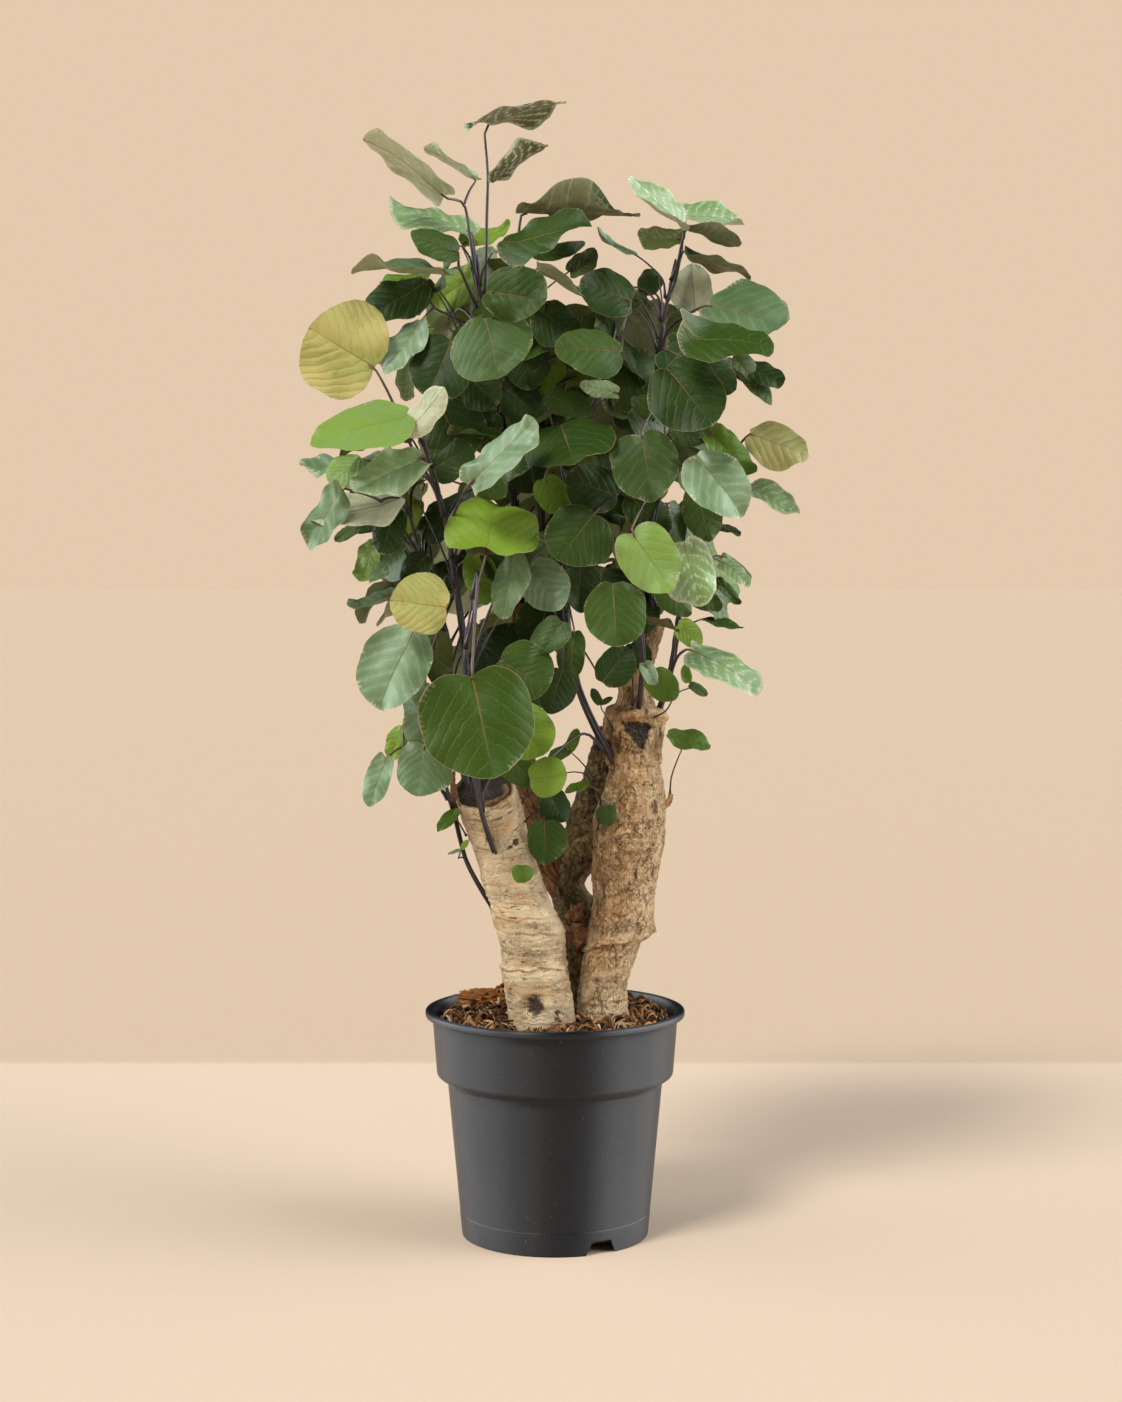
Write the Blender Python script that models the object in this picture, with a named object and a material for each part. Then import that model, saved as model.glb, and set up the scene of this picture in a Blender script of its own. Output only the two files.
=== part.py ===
"""A potted aralia: a nursery pot, its soil, three stumps, ten dark stems and forty-five leaves.

Metres, +Z up. The origin is the centre of the pot's foot on the ground, and the plant is seen
from -Y. A leaf is one compound leaf: a stalk that stands on a stem and carries one to three blades.
"""

import math

import bmesh
import bpy
from mathutils import Matrix, Vector, noise

CM = 0.01
SEAT_GAP = 0.0004  # left between two pieces that touch
VIEW_DISTANCE = 2.2  # leaf places are laid out on a front elevation seen from this far away
VIEW_HEIGHT = 0.62

# The pot
POT_HEIGHT = 0.210
RIM_RADIUS = 0.120
COLLAR_TOP_RADIUS = 0.1135
COLLAR_BOTTOM_RADIUS = 0.1094
COLLAR_BOTTOM_HEIGHT = 0.1520
BODY_TOP_RADIUS = 0.0995
BODY_TOP_HEIGHT = 0.1430
FOOT_RADIUS = 0.0865
FOOT_RING_WIDTH = 0.0030
FOOT_BAND_HEIGHT = 0.0215
FOOT_BAND_STEP = 0.0006
EDGE_ROUND = 0.0008
SHOULDER_ROUND = 0.0030
RIM_ROUND = 0.0028
LIP_HEIGHT = 0.0062
WALL = 0.0018
FLOOR_HEIGHT = 0.0100
ROUND_SIDES = 48
NOTCH_ANGLES = (-61.0, 59.0, 179.0)  # degrees from +X
NOTCH_WIDTH = 0.030
NOTCH_TOP_WIDTH = 0.019
NOTCH_HEIGHT = 0.013
NOTCH_DEPTH = 0.020
CUTTER_MARGIN = 0.004
DRAIN_HOLES = 6
DRAIN_RADIUS = 0.0065
DRAIN_CIRCLE = 0.055

# The soil
SOIL_EDGE_HEIGHT = 0.1975
SOIL_MOUND = 0.0060
SOIL_UNEVEN = 0.0022
SOIL_LUMP_SCALE = 40
SOIL_HEAP = (-0.048, 0.052, 0.0130)  # x, y and height of the heap of coir at the back left
SOIL_HEAP_REACH = 0.026
SOIL_RINGS = (0.22, 0.42, 0.60, 0.76, 0.90, 1.0)

# Bark
STUMP_SIDES = 16
STEM_SIDES = 6
STALK_SIDES = 4
RIB_SIDES = 5
BARK_LUMP = 0.10  # how far the bark swells and sinks, as a share of the radius

# Blades, as shares of the blade's length
BLADE_POINTS = 12
BLADE_CENTRE = 0.46
BLADE_REACH = 0.54
BLADE_CUP = 0.10
BLADE_THICKNESS = 0.0016
MIDRIB_REACH = 0.42
STALK_RADIUS = 0.0012
BRANCH_RADIUS = 0.0009
STALK_CLEAR = 0.0025  # how far a stalk stands out from its stem before it turns
STALK_BOW = 0.10
FORK_SHARE = 0.72
FORK_RISE = 0.06
RIB_TAPER = (0.9, 0.5)

COLOURS = {
    "pot": ((0.045, 0.050, 0.058), 0.42),
    "soil": ((0.085, 0.045, 0.025), 0.95),
    "bark": ((0.46, 0.36, 0.23), 0.90),
    "rear bark": ((0.27, 0.18, 0.10), 0.90),
    "stem": ((0.045, 0.032, 0.035), 0.55),
    "green leaf": ((0.055, 0.150, 0.035), 0.40),
    "pale leaf": ((0.150, 0.260, 0.130), 0.40),
    "gold leaf": ((0.480, 0.400, 0.110), 0.50),
}

# Each stump: its centre line and radius, from the root end up, in centimetres: (x, y, z, radius).
LEFT_STUMP = (
    (-1.3, -3.4, 12.0, 2.0), (-1.3, -3.5, 15.5, 2.7), (-1.2, -3.6, 19.0, 3.15), (-1.3, -3.6, 21.0, 3.0),
    (-1.6, -3.6, 23.6, 3.05), (-1.95, -3.6, 26.4, 3.0), (-2.4, -3.6, 29.1, 3.15), (-3.4, -3.6, 31.9, 2.85),
    (-4.3, -3.7, 34.8, 2.7), (-5.1, -3.8, 37.5, 2.6), (-5.9, -3.9, 40.2, 2.75), (-6.4, -4.0, 41.9, 2.7),
)
RIGHT_STUMP = (
    (4.2, -1.0, 12.0, 1.6), (4.3, -1.1, 15.5, 2.0), (4.35, -1.1, 19.5, 2.35), (4.4, -1.1, 22.8, 2.25),
    (5.0, -1.1, 25.6, 2.45), (5.8, -1.1, 27.7, 2.9), (6.3, -1.1, 30.7, 2.85), (6.5, -1.1, 34.4, 3.15),
    (6.8, -1.1, 37.4, 3.35), (7.1, -1.1, 40.2, 3.05), (7.3, -1.1, 42.8, 2.5), (7.25, -1.1, 44.8, 2.45),
    (7.2, -1.1, 46.4, 2.85), (7.25, -1.1, 48.0, 2.75), (7.2, -1.1, 48.8, 2.3), (7.0, -1.1, 49.2, 1.75),
    (7.1, -1.1, 51.5, 1.5), (7.9, -1.1, 53.6, 1.3), (8.6, -1.1, 55.4, 1.1), (9.0, -1.1, 56.6, 1.05),
)
REAR_STUMP = (
    (2.0, 3.4, 12.0, 1.3), (2.0, 3.5, 16.0, 1.7), (2.0, 3.5, 20.5, 1.9), (2.0, 3.6, 24.5, 1.7),
    (1.9, 3.7, 27.8, 2.05), (1.8, 3.9, 30.2, 2.0), (1.1, 4.0, 32.0, 1.75), (1.9, 4.2, 33.8, 1.9),
    (2.3, 4.3, 35.6, 2.0), (3.3, 4.5, 38.4, 2.0), (4.6, 4.6, 42.0, 1.95), (5.9, 4.7, 46.2, 1.8),
)
REAR_FORK = (
    (2.0, 3.9, 28.6, 1.2), (0.9, 4.0, 31.0, 1.5), (-0.9, 4.0, 34.2, 1.35), (-2.4, 4.0, 39.5, 1.2),
    (-3.2, 3.9, 46.0, 1.15), (-3.2, 3.8, 52.0, 1.1), (-2.8, 3.7, 58.4, 1.1),
)
CUT_FACES = {  # which way each stump's sawn top looks
    "left": (-0.10, -0.50, 0.86),
    "right": (0.25, 0.0, 0.97),
    "rear": (0.30, 0.0, 0.95),
    "fork": (0.0, 0.0, 1.0),
}

# Each stem: its centre line, from the stump up, in centimetres, and its radii at both ends in millimetres.
STEMS = {
    "stem_left_main": (3.6, 2.4, (
        (-6.9, -3.7, 40.8), (-7.8, -4.0, 48.0), (-8.2, -4.5, 55.0), (-9.2, -5.0, 62.0),
        (-10.5, -5.2, 69.0), (-11.8, -5.5, 73.5))),
    "stem_left_outer": (3.2, 2.2, (
        (-7.6, -2.9, 40.2), (-9.4, -2.2, 48.0), (-9.8, -2.0, 55.0), (-11.4, -2.4, 60.5),
        (-12.9, -3.0, 65.5), (-13.6, -3.4, 68.5))),
    "stem_left_front": (2.6, 2.0, (
        (-4.9, -5.4, 34.6), (-6.4, -7.9, 39.6), (-7.2, -8.6, 44.0), (-7.9, -9.0, 50.0),
        (-8.0, -9.0, 54.0), (-7.3, -8.8, 59.0))),
    "stem_left_side": (2.4, 1.8, (
        (-4.6, -4.0, 29.2), (-7.9, -4.6, 35.0), (-9.1, -5.0, 39.5), (-10.2, -5.6, 43.5),
        (-11.6, -6.0, 48.5), (-12.6, -6.0, 53.0))),
    "stem_top_main": (3.4, 2.4, (
        (-3.1, 3.7, 57.4), (-3.6, 3.0, 66.0), (-5.0, 1.4, 76.0), (-6.6, -0.6, 85.0),
        (-7.1, -1.2, 90.0))),
    "stem_top_second": (3.0, 2.0, (
        (-2.4, 3.7, 57.4), (-1.2, 2.6, 66.0), (-2.0, 1.4, 76.0), (-4.0, 0.2, 83.0),
        (-5.0, -0.4, 88.0))),
    "stem_mid": (3.6, 2.2, (
        (6.0, -2.0, 43.0), (3.6, -3.4, 47.4), (1.9, -4.0, 51.8), (1.0, -4.0, 58.5),
        (1.3, -3.6, 66.0), (2.0, -3.5, 72.0), (3.6, -3.6, 77.0), (4.9, -4.0, 81.0))),
    "stem_right_main": (4.0, 2.6, (
        (9.1, -1.1, 55.6), (8.7, -0.8, 62.5), (8.3, -0.6, 68.0), (8.8, -1.0, 74.5),
        (9.3, -1.5, 80.0), (9.8, -2.0, 84.5), (10.9, -2.2, 89.5))),
    "stem_right_front": (2.8, 2.0, (
        (7.3, -2.4, 46.6), (7.9, -5.2, 53.0), (7.6, -6.2, 58.5), (8.4, -6.6, 64.0),
        (9.6, -6.2, 70.0), (9.8, -5.6, 76.0))),
    "stem_right_outer": (3.0, 2.0, (
        (8.8, -1.2, 46.4), (10.6, -1.8, 52.5), (11.2, -2.2, 57.0), (12.2, -2.8, 63.0),
        (13.3, -3.2, 67.7), (14.4, -3.4, 71.4))),
}

# Each leaf: the stem it grows on, how far up it, its colour, and its blades. A blade is laid out on the
# front elevation in centimetres: (x, z) of its base, (x, z) of its tip, how far back its base lies, how
# much further back its tip lies, which way its upper side looks, and its width over its length.
LEAVES = {
    "leaf_top_1": ("stem_top_main", 1.00, "green leaf", (
        (-6.4, 101.7, 0.2, 104.3, 2.0, -5.5, (-2, 0, 9), 1.05),
        (-5.7, 96.7, -0.8, 100.1, -1.5, -1.0, (-5, 1, 8), 0.60))),
    "leaf_top_2": ("stem_top_main", 0.97, "green leaf", (
        (-10.0, 95.3, -16.7, 101.3, -2.0, -2.0, (4, 2, 6), 0.80),
        (-7.2, 96.9, -11.5, 100.0, 3.5, 2.0, (3, 2, 6), 0.60))),
    "leaf_top_3": ("stem_top_main", 0.94, "pale leaf", (
        (-7.6, 92.2, -14.8, 94.8, 2.0, 2.0, (1, -3.5, 7), 0.75),)),
    "leaf_top_4": ("stem_top_main", 0.90, "green leaf", (
        (-9.5, 88.8, -18.3, 89.3, -4.0, -3.0, (0, -3, 9), 0.90),
        (-8.8, 90.4, -13.0, 92.0, -3.0, -1.5, (2, -7, 6), 0.85))),
    "leaf_top_5": ("stem_top_second", 1.00, "green leaf", (
        (-3.0, 94.5, 7.5, 94.3, -1.0, -3.0, (0, 2, 9), 0.66),)),
    "leaf_top_6": ("stem_top_second", 0.97, "green leaf", (
        (-4.3, 90.5, 2.7, 93.6, -5.0, -4.0, (-3, -6, 8), 0.75),)),
    "leaf_top_7": ("stem_top_second", 0.90, "green leaf", (
        (-6.1, 86.9, -0.6, 86.0, -10.0, -1.0, (0, -9, 2), 0.92),)),
    "leaf_top_8": ("stem_top_main", 0.80, "green leaf", (
        (-6.3, 84.3, -5.0, 78.9, -10.0, -2.0, (-1, -9, 3), 1.25),)),
    "leaf_top_9": ("stem_top_main", 0.84, "green leaf", (
        (-11.9, 87.4, -17.2, 84.6, -3.0, -1.0, (-2, -7, 5), 0.85),
        (-12.2, 84.0, -15.6, 79.6, -4.5, -2.0, (-5, -7, 2), 0.70))),
    "leaf_top_10": ("stem_top_main", 0.70, "green leaf", (
        (-9.4, 82.4, -11.6, 77.4, -6.0, -1.0, (-2, -9, 2), 1.10),)),
    "leaf_left_1": ("stem_left_main", 0.99, "gold leaf", (
        (-16.5, 80.0, -22.4, 83.5, -6.5, -1.0, (-2, -9, 1), 1.38),)),
    "leaf_left_2": ("stem_left_main", 1.00, "pale leaf", (
        (-13.3, 75.3, -22.2, 73.8, -10.0, -3.0, (0, -5, 8), 0.74),
        (-12.8, 74.6, -9.9, 78.2, -10.0, -1.0, (-5, 2, 6), 0.70))),
    "leaf_left_3": ("stem_left_outer", 1.00, "pale leaf", (
        (-17.6, 71.6, -20.6, 69.5, -4.0, -1.0, (-1, -7, 6), 1.20),
        (-14.0, 71.2, -18.6, 67.6, -1.0, 0.5, (-3, -7, 5), 0.80))),
    "leaf_left_4": ("stem_left_main", 0.86, "green leaf", (
        (-12.0, 71.9, -18.3, 68.8, -9.0, -3.0, (-1, -6, 7), 0.60),)),
    "leaf_left_5": ("stem_left_outer", 0.90, "pale leaf", (
        (-19.5, 69.0, -22.6, 63.5, -7.5, -1.0, (-5, -8, 2), 0.60),
        (-16.4, 67.0, -22.0, 65.0, -4.0, -2.0, (-2, -2, 9), 0.60))),
    "leaf_left_6": ("stem_left_outer", 0.78, "green leaf", (
        (-14.7, 67.0, -15.8, 63.0, -6.0, -1.0, (-2, -9, 1), 0.75),
        (-16.6, 64.3, -17.6, 60.4, -5.0, -1.0, (-5, -8, 1), 0.60))),
    "leaf_left_7": ("stem_left_side", 1.00, "gold leaf", (
        (-9.9, 58.0, -15.0, 58.8, -10.5, -1.0, (1, -9, 2), 1.10),)),
    "leaf_left_8": ("stem_left_side", 0.92, "pale leaf", (
        (-12.8, 55.8, -16.5, 48.8, -8.5, -1.0, (-3, -9, 1), 0.80),)),
    "leaf_left_9": ("stem_left_side", 0.75, "pale leaf", (
        (-12.0, 45.5, -12.7, 40.7, -8.5, -1.0, (-1, -9, 2), 1.05),)),
    "leaf_left_10": ("stem_left_side", 0.62, "pale leaf", (
        (-15.4, 44.3, -17.2, 39.8, -6.5, -1.0, (-3, -8, 1), 0.52),
        (-14.0, 47.2, -15.3, 43.9, -4.0, 0.0, (-4, -8, 2), 0.60))),
    "leaf_left_11": ("stem_left_front", 0.70, "green leaf", (
        (-7.6, 51.9, -5.6, 42.7, -13.5, -1.5, (0, -9, 1.5), 1.14),)),
    "leaf_left_12": ("stem_left_front", 0.60, "green leaf", (
        (-5.0, 53.2, -0.7, 50.7, -10.5, -1.0, (1, -9, 2), 1.20),
        (-4.2, 48.6, -1.0, 44.5, -9.5, -1.0, (2, -9, 1), 1.00))),
    "leaf_left_13": ("stem_left_front", 0.96, "green leaf", (
        (-6.3, 62.9, -5.4, 68.3, -11.0, 4.5, (0, -6, 6), 1.20),)),
    "leaf_left_14": ("stem_left_main", 0.80, "green leaf", (
        (-7.8, 69.4, -1.8, 75.0, -12.0, -1.0, (-4, -6, 4), 0.60),)),
    "leaf_left_15": ("stem_left_front", 0.88, "green leaf", (
        (-3.6, 63.0, -4.9, 57.2, -9.0, -1.0, (-3, -8, 1), 0.55),)),
    "leaf_mid_1": ("stem_mid", 0.84, "green leaf", (
        (0.6, 74.6, 1.8, 71.2, -7.5, -6.0, (-3, -5, 7), 1.15),)),
    "leaf_mid_2": ("stem_mid", 0.64, "green leaf", (
        (3.6, 66.6, 0.3, 62.5, -10.0, -1.0, (0, -9, 2), 1.15),
        (5.8, 68.3, 1.1, 69.8, -7.0, -1.0, (0, -9, 2), 0.90))),
    "leaf_mid_3": ("stem_mid", 0.34, "green leaf", (
        (0.6, 56.8, -1.3, 53.4, -8.5, -1.0, (-2, -8, 3), 0.90),
        (0.7, 52.3, -0.5, 48.4, -7.0, 0.0, (1, -9, 1), 0.85))),
    "leaf_mid_4": ("stem_mid", 0.98, "green leaf", (
        (6.0, 81.3, 0.3, 81.9, -9.5, -2.0, (0, -8, 4), 0.80),
        (7.0, 86.0, 2.4, 87.7, -6.0, -1.0, (0, -8, 4), 0.95))),
    "leaf_mid_5": ("stem_right_front", 0.50, "green leaf", (
        (5.3, 60.2, 5.8, 54.5, -12.5, -1.0, (1, -9, 1), 0.98),)),
    "leaf_right_1": ("stem_right_main", 1.00, "pale leaf", (
        (11.6, 92.9, 6.9, 96.9, -5.0, -2.0, (2, -4, 7), 0.65),
        (12.4, 93.6, 16.9, 93.5, 0.0, 3.0, (0, -4, 8), 0.90),
        (12.4, 92.3, 16.8, 91.2, -4.0, -2.5, (2, 1, 8), 0.80))),
    "leaf_right_2": ("stem_right_main", 0.95, "green leaf", (
        (12.0, 90.3, 17.9, 88.6, -3.0, -2.0, (2, 1, 8), 0.70),
        (9.6, 90.4, 6.9, 91.6, 0.5, 1.0, (-2, 3, 8), 1.10))),
    "leaf_right_3": ("stem_right_main", 0.86, "green leaf", (
        (13.9, 85.4, 21.2, 84.0, -8.0, -2.0, (-1, -6, 6), 0.95),)),
    "leaf_right_4": ("stem_right_main", 0.76, "green leaf", (
        (11.8, 82.4, 19.8, 82.6, -13.0, -2.0, (0, -5, 8), 0.75),
        (16.6, 80.4, 20.8, 78.6, -4.0, -1.0, (2, -6, 5), 0.80))),
    "leaf_right_5": ("stem_right_main", 0.66, "green leaf", (
        (10.2, 80.0, 14.4, 74.8, -12.0, -2.0, (0, -9, 3), 1.00),)),
    "leaf_right_6": ("stem_right_front", 0.97, "green leaf", (
        (7.9, 74.0, 9.0, 67.9, -11.0, -1.0, (-1, -9, 2), 0.95),)),
    "leaf_right_7": ("stem_right_front", 0.72, "pale leaf", (
        (7.0, 65.0, 10.7, 59.8, -13.0, -1.0, (-1, -9, 2), 0.85),)),
    "leaf_right_8": ("stem_right_outer", 0.62, "pale leaf", (
        (11.7, 64.0, 13.6, 58.3, -10.5, -1.0, (1, -9, 2), 0.80),
        (15.2, 62.3, 17.9, 60.3, -5.0, -1.0, (2, -6, 5), 0.60))),
    "leaf_right_9": ("stem_right_outer", 0.99, "gold leaf", (
        (17.8, 72.9, 23.2, 71.1, -4.0, -1.0, (1, -8, 4.5), 0.75),)),
    "leaf_right_10": ("stem_right_outer", 0.90, "pale leaf", (
        (12.8, 71.8, 17.4, 66.8, -11.0, -1.0, (0, -9, 3), 0.80),
        (17.8, 69.0, 22.3, 66.9, -4.5, -1.0, (1, -5, 6), 0.55))),
    "leaf_right_11": ("stem_right_outer", 0.35, "pale leaf", (
        (12.4, 54.2, 19.0, 51.0, -8.0, -2.0, (0, -6, 8), 0.58),)),
    "leaf_low_1": ("stem_mid", 0.06, "green leaf", (
        (-2.2, 42.1, 1.1, 42.4, -10.0, -1.0, (0, -9, 2), 1.10),)),
    "leaf_back_1": ("stem_left_outer", 0.55, "green leaf", (
        (-12.0, 66.0, -15.5, 60.5, 5.5, 1.0, (-3, 8, 3), 1.00),
        (-14.5, 70.0, -19.0, 66.5, 3.5, 1.0, (-5, 7, 3), 0.90),
        (-9.5, 64.5, -9.0, 57.5, 10.5, 2.5, (0, 9, 3), 1.00))),
    "leaf_back_2": ("stem_top_second", 0.60, "green leaf", (
        (-4.0, 78.0, -6.5, 72.0, 9.5, 1.5, (-1, 9, 3), 1.05),
        (1.0, 80.0, 4.5, 75.5, 8.0, 1.0, (3, 8, 3), 1.00),
        (-1.5, 84.5, -2.5, 78.5, 12.0, 3.2, (0, 9, 5), 1.05))),
    "leaf_back_3": ("stem_right_main", 0.40, "green leaf", (
        (8.5, 67.0, 9.5, 60.5, 11.0, 3.5, (2, 9, 4), 1.05),
        (12.0, 71.0, 16.5, 68.0, 8.5, 1.0, (5, 7, 4), 0.95),
        (5.2, 74.5, 4.2, 68.5, 12.6, 3.0, (0, 9, 4), 1.00))),
}


def on_view(x, z, back):
    """The point this far back on the line of sight that meets the front elevation at (x, z)."""
    depth = back * CM
    share = 1 + depth / VIEW_DISTANCE
    return Vector((x * CM * share, depth, VIEW_HEIGHT + (z * CM - VIEW_HEIGHT) * share))


def clear_scene():
    for old in list(bpy.data.objects):
        bpy.data.objects.remove(old)


def material(name):
    """One Principled material for each piece, from the table of colours."""
    colour, roughness = COLOURS[name]
    made = bpy.data.materials.new(name)
    made.use_nodes = True
    shader = made.node_tree.nodes["Principled BSDF"]
    shader.inputs["Base Color"].default_value = (*colour, 1.0)
    shader.inputs["Roughness"].default_value = roughness
    shader.inputs["Metallic"].default_value = 0.0
    return made


def add_object(name, bm, colour=None):
    """Turn a bmesh into an object in the scene."""
    mesh = bpy.data.meshes.new(name)
    if bm.calc_volume(signed=True) < 0:
        bmesh.ops.reverse_faces(bm, faces=bm.faces)
    bm.to_mesh(mesh)
    bm.free()
    made = bpy.data.objects.new(name, mesh)
    bpy.context.scene.collection.objects.link(made)
    if colour:
        mesh.materials.append(material(colour))
    return made


def combine(target, other, operation):
    """Join another solid to this one, or cut it away, and drop the other."""
    modifier = target.modifiers.new("combine", "BOOLEAN")
    modifier.operation = operation
    modifier.solver = "EXACT"
    modifier.object = other
    depsgraph = bpy.context.evaluated_depsgraph_get()
    mesh = bpy.data.meshes.new_from_object(target.evaluated_get(depsgraph))
    target.modifiers.clear()
    target.data = mesh
    bpy.data.objects.remove(other)


def smooth_shade(part, degrees=40.0):
    part.data.shade_smooth()
    part.data.set_sharp_from_angle(angle=math.radians(degrees))


def smooth_curve(rows, steps):
    """Points on a smooth curve that passes through the given ones."""
    ends = [2 * rows[0] - rows[1], *rows, 2 * rows[-1] - rows[-2]]
    curve = []
    for a, b, c, d in zip(ends, ends[1:], ends[2:], ends[3:]):
        for step in range(steps):
            t = step / steps
            curve.append(0.5 * (2 * b + (c - a) * t + (2 * a - 5 * b + 4 * c - d) * t ** 2
                                + (3 * b - a - 3 * c + d) * t ** 3))
    curve.append(rows[-1])
    return curve


def tube(rows, sides, upright=False, lump=0.0, end_facing=None):
    """A closed tube along rows of (x, y, z, radius), with level rings if it is upright."""
    bm = bmesh.new()
    centres = [row.to_3d() for row in rows]
    previous = Vector((0.0, 0.0, 1.0)) if upright else (centres[1] - centres[0]).normalized()
    side = Vector((1.0, 0.0, 0.0)) if upright else previous.orthogonal().normalized()
    rings = []
    for index, (row, centre) in enumerate(zip(rows, centres)):
        before = centres[max(index - 1, 0)]
        after = centres[min(index + 1, len(centres) - 1)]
        along = previous if upright else (after - before).normalized()
        side.rotate(previous.rotation_difference(along))
        across = along.cross(side)
        previous = along
        ring = []
        for step in range(sides):
            angle = 2 * math.pi * step / sides
            out = side * math.cos(angle) + across * math.sin(angle)
            swell = noise.noise(out * 1.6 + Vector((row[0] * 9, row[1] * 9, row[2] * 32)))
            reach = row[3] * (1 + lump * swell)
            place = centre + out * reach
            if end_facing is not None and index == len(rows) - 1:
                place.z -= (place - centre).dot(end_facing) / end_facing.z
            ring.append(bm.verts.new(place))
        rings.append(ring)
    for low, high in zip(rings, rings[1:]):
        for step in range(sides):
            turn = (step + 1) % sides
            bm.faces.new((low[step], low[turn], high[turn], high[step]))
    bm.faces.new(list(reversed(rings[0])))
    bm.faces.new(rings[-1])
    if upright:  # uneven four-sided faces are split one way, so that a stump and its socket agree
        bmesh.ops.triangulate(bm, faces=bm.faces, quad_method="FIXED")
    return bm


def turned(profile, sides=ROUND_SIDES):
    """A closed solid turned from (radius, height) points that run from axis to axis."""
    bm = bmesh.new()
    rings = []
    for radius, height in profile:
        if radius == 0:
            rings.append([bm.verts.new((0.0, 0.0, height))])
            continue
        turns = [2 * math.pi * step / sides for step in range(sides)]
        rings.append([bm.verts.new((radius * math.cos(a), radius * math.sin(a), height)) for a in turns])
    for low, high in zip(rings, rings[1:]):
        for step in range(sides):
            turn = (step + 1) % sides
            lower = [low[step % len(low)], low[turn % len(low)]]
            upper = [high[turn % len(high)], high[step % len(high)]]
            bm.faces.new(list(dict.fromkeys(lower + upper)))
    return bm


def body_radius(height):
    """The pot's outer radius at this height, below the collar."""
    return FOOT_RADIUS + (BODY_TOP_RADIUS - FOOT_RADIUS) * height / BODY_TOP_HEIGHT


def inner_wall():
    """The inside of the pot, from its floor up to the top of the collar."""
    return [
        (body_radius(FLOOR_HEIGHT) - WALL, FLOOR_HEIGHT),
        (BODY_TOP_RADIUS - WALL, BODY_TOP_HEIGHT + EDGE_ROUND),
        (COLLAR_BOTTOM_RADIUS - WALL - 0.6 * SHOULDER_ROUND, COLLAR_BOTTOM_HEIGHT + 0.2 * SHOULDER_ROUND),
        (COLLAR_BOTTOM_RADIUS - WALL, COLLAR_BOTTOM_HEIGHT + SHOULDER_ROUND),
        (COLLAR_TOP_RADIUS - WALL, POT_HEIGHT - LIP_HEIGHT),
    ]


def make_pot():
    lip_low = POT_HEIGHT - LIP_HEIGHT
    outer = [
        (FOOT_RADIUS - EDGE_ROUND, 0.0), (FOOT_RADIUS, EDGE_ROUND),
        (body_radius(FOOT_BAND_HEIGHT), FOOT_BAND_HEIGHT),
        (body_radius(FOOT_BAND_HEIGHT) - FOOT_BAND_STEP, FOOT_BAND_HEIGHT + FOOT_BAND_STEP),
        (BODY_TOP_RADIUS, BODY_TOP_HEIGHT),
        (BODY_TOP_RADIUS + SHOULDER_ROUND, BODY_TOP_HEIGHT + 0.7 * SHOULDER_ROUND),
        (COLLAR_BOTTOM_RADIUS - SHOULDER_ROUND, COLLAR_BOTTOM_HEIGHT - 1.4 * SHOULDER_ROUND),
        (COLLAR_BOTTOM_RADIUS - EDGE_ROUND, COLLAR_BOTTOM_HEIGHT - 0.6 * SHOULDER_ROUND),
        (COLLAR_BOTTOM_RADIUS, COLLAR_BOTTOM_HEIGHT + EDGE_ROUND),
        (COLLAR_TOP_RADIUS, lip_low),
        (RIM_RADIUS - 0.5 * RIM_ROUND, lip_low), (RIM_RADIUS, lip_low + 0.5 * RIM_ROUND),
        (RIM_RADIUS, POT_HEIGHT - 0.7 * RIM_ROUND),
        (RIM_RADIUS - 0.4 * RIM_ROUND, POT_HEIGHT - 0.15 * RIM_ROUND),
        (RIM_RADIUS - RIM_ROUND, POT_HEIGHT),
        (COLLAR_TOP_RADIUS + EDGE_ROUND, POT_HEIGHT - 0.6 * EDGE_ROUND),
        (COLLAR_TOP_RADIUS - EDGE_ROUND, POT_HEIGHT - 0.8 * RIM_ROUND),
    ]
    inner = list(reversed(inner_wall()))
    under = FLOOR_HEIGHT - WALL
    foot = FOOT_RADIUS - FOOT_RING_WIDTH
    profile = [(0, under), (foot, under), (foot, 0.0)] + outer + inner + [(0, FLOOR_HEIGHT)]
    pot = add_object("pot", turned(profile), "pot")
    for degrees in NOTCH_ANGLES:
        combine(pot, make_notch(math.radians(degrees)), "DIFFERENCE")
    for index in range(DRAIN_HOLES):
        angle = math.radians(NOTCH_ANGLES[0]) + 2 * math.pi * (index + 0.5) / DRAIN_HOLES
        place = Vector((DRAIN_CIRCLE * math.cos(angle), DRAIN_CIRCLE * math.sin(angle), FLOOR_HEIGHT))
        bm = bmesh.new()
        bmesh.ops.create_cone(bm, cap_ends=True, segments=10, radius1=DRAIN_RADIUS, radius2=DRAIN_RADIUS,
                              depth=3 * CUTTER_MARGIN, matrix=Matrix.Translation(place))
        combine(pot, add_object("drain_cutter", bm), "DIFFERENCE")
    smooth_shade(pot, 30.0)


def make_notch(angle):
    """The cutter for one of the notches in the foot, wider at the ground than at its top."""
    bm = bmesh.new()
    bmesh.ops.create_cube(bm, size=1.0)
    for vert in bm.verts:
        high = vert.co.z > 0
        vert.co.y *= NOTCH_TOP_WIDTH if high else NOTCH_WIDTH + CUTTER_MARGIN
        vert.co.z = NOTCH_HEIGHT if high else -CUTTER_MARGIN
        vert.co.x = FOOT_RADIUS + NOTCH_DEPTH * vert.co.x
    bmesh.ops.rotate(bm, verts=bm.verts, cent=(0, 0, 0), matrix=Matrix.Rotation(angle, 3, "Z"))
    return add_object("notch_cutter", bm)


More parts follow.
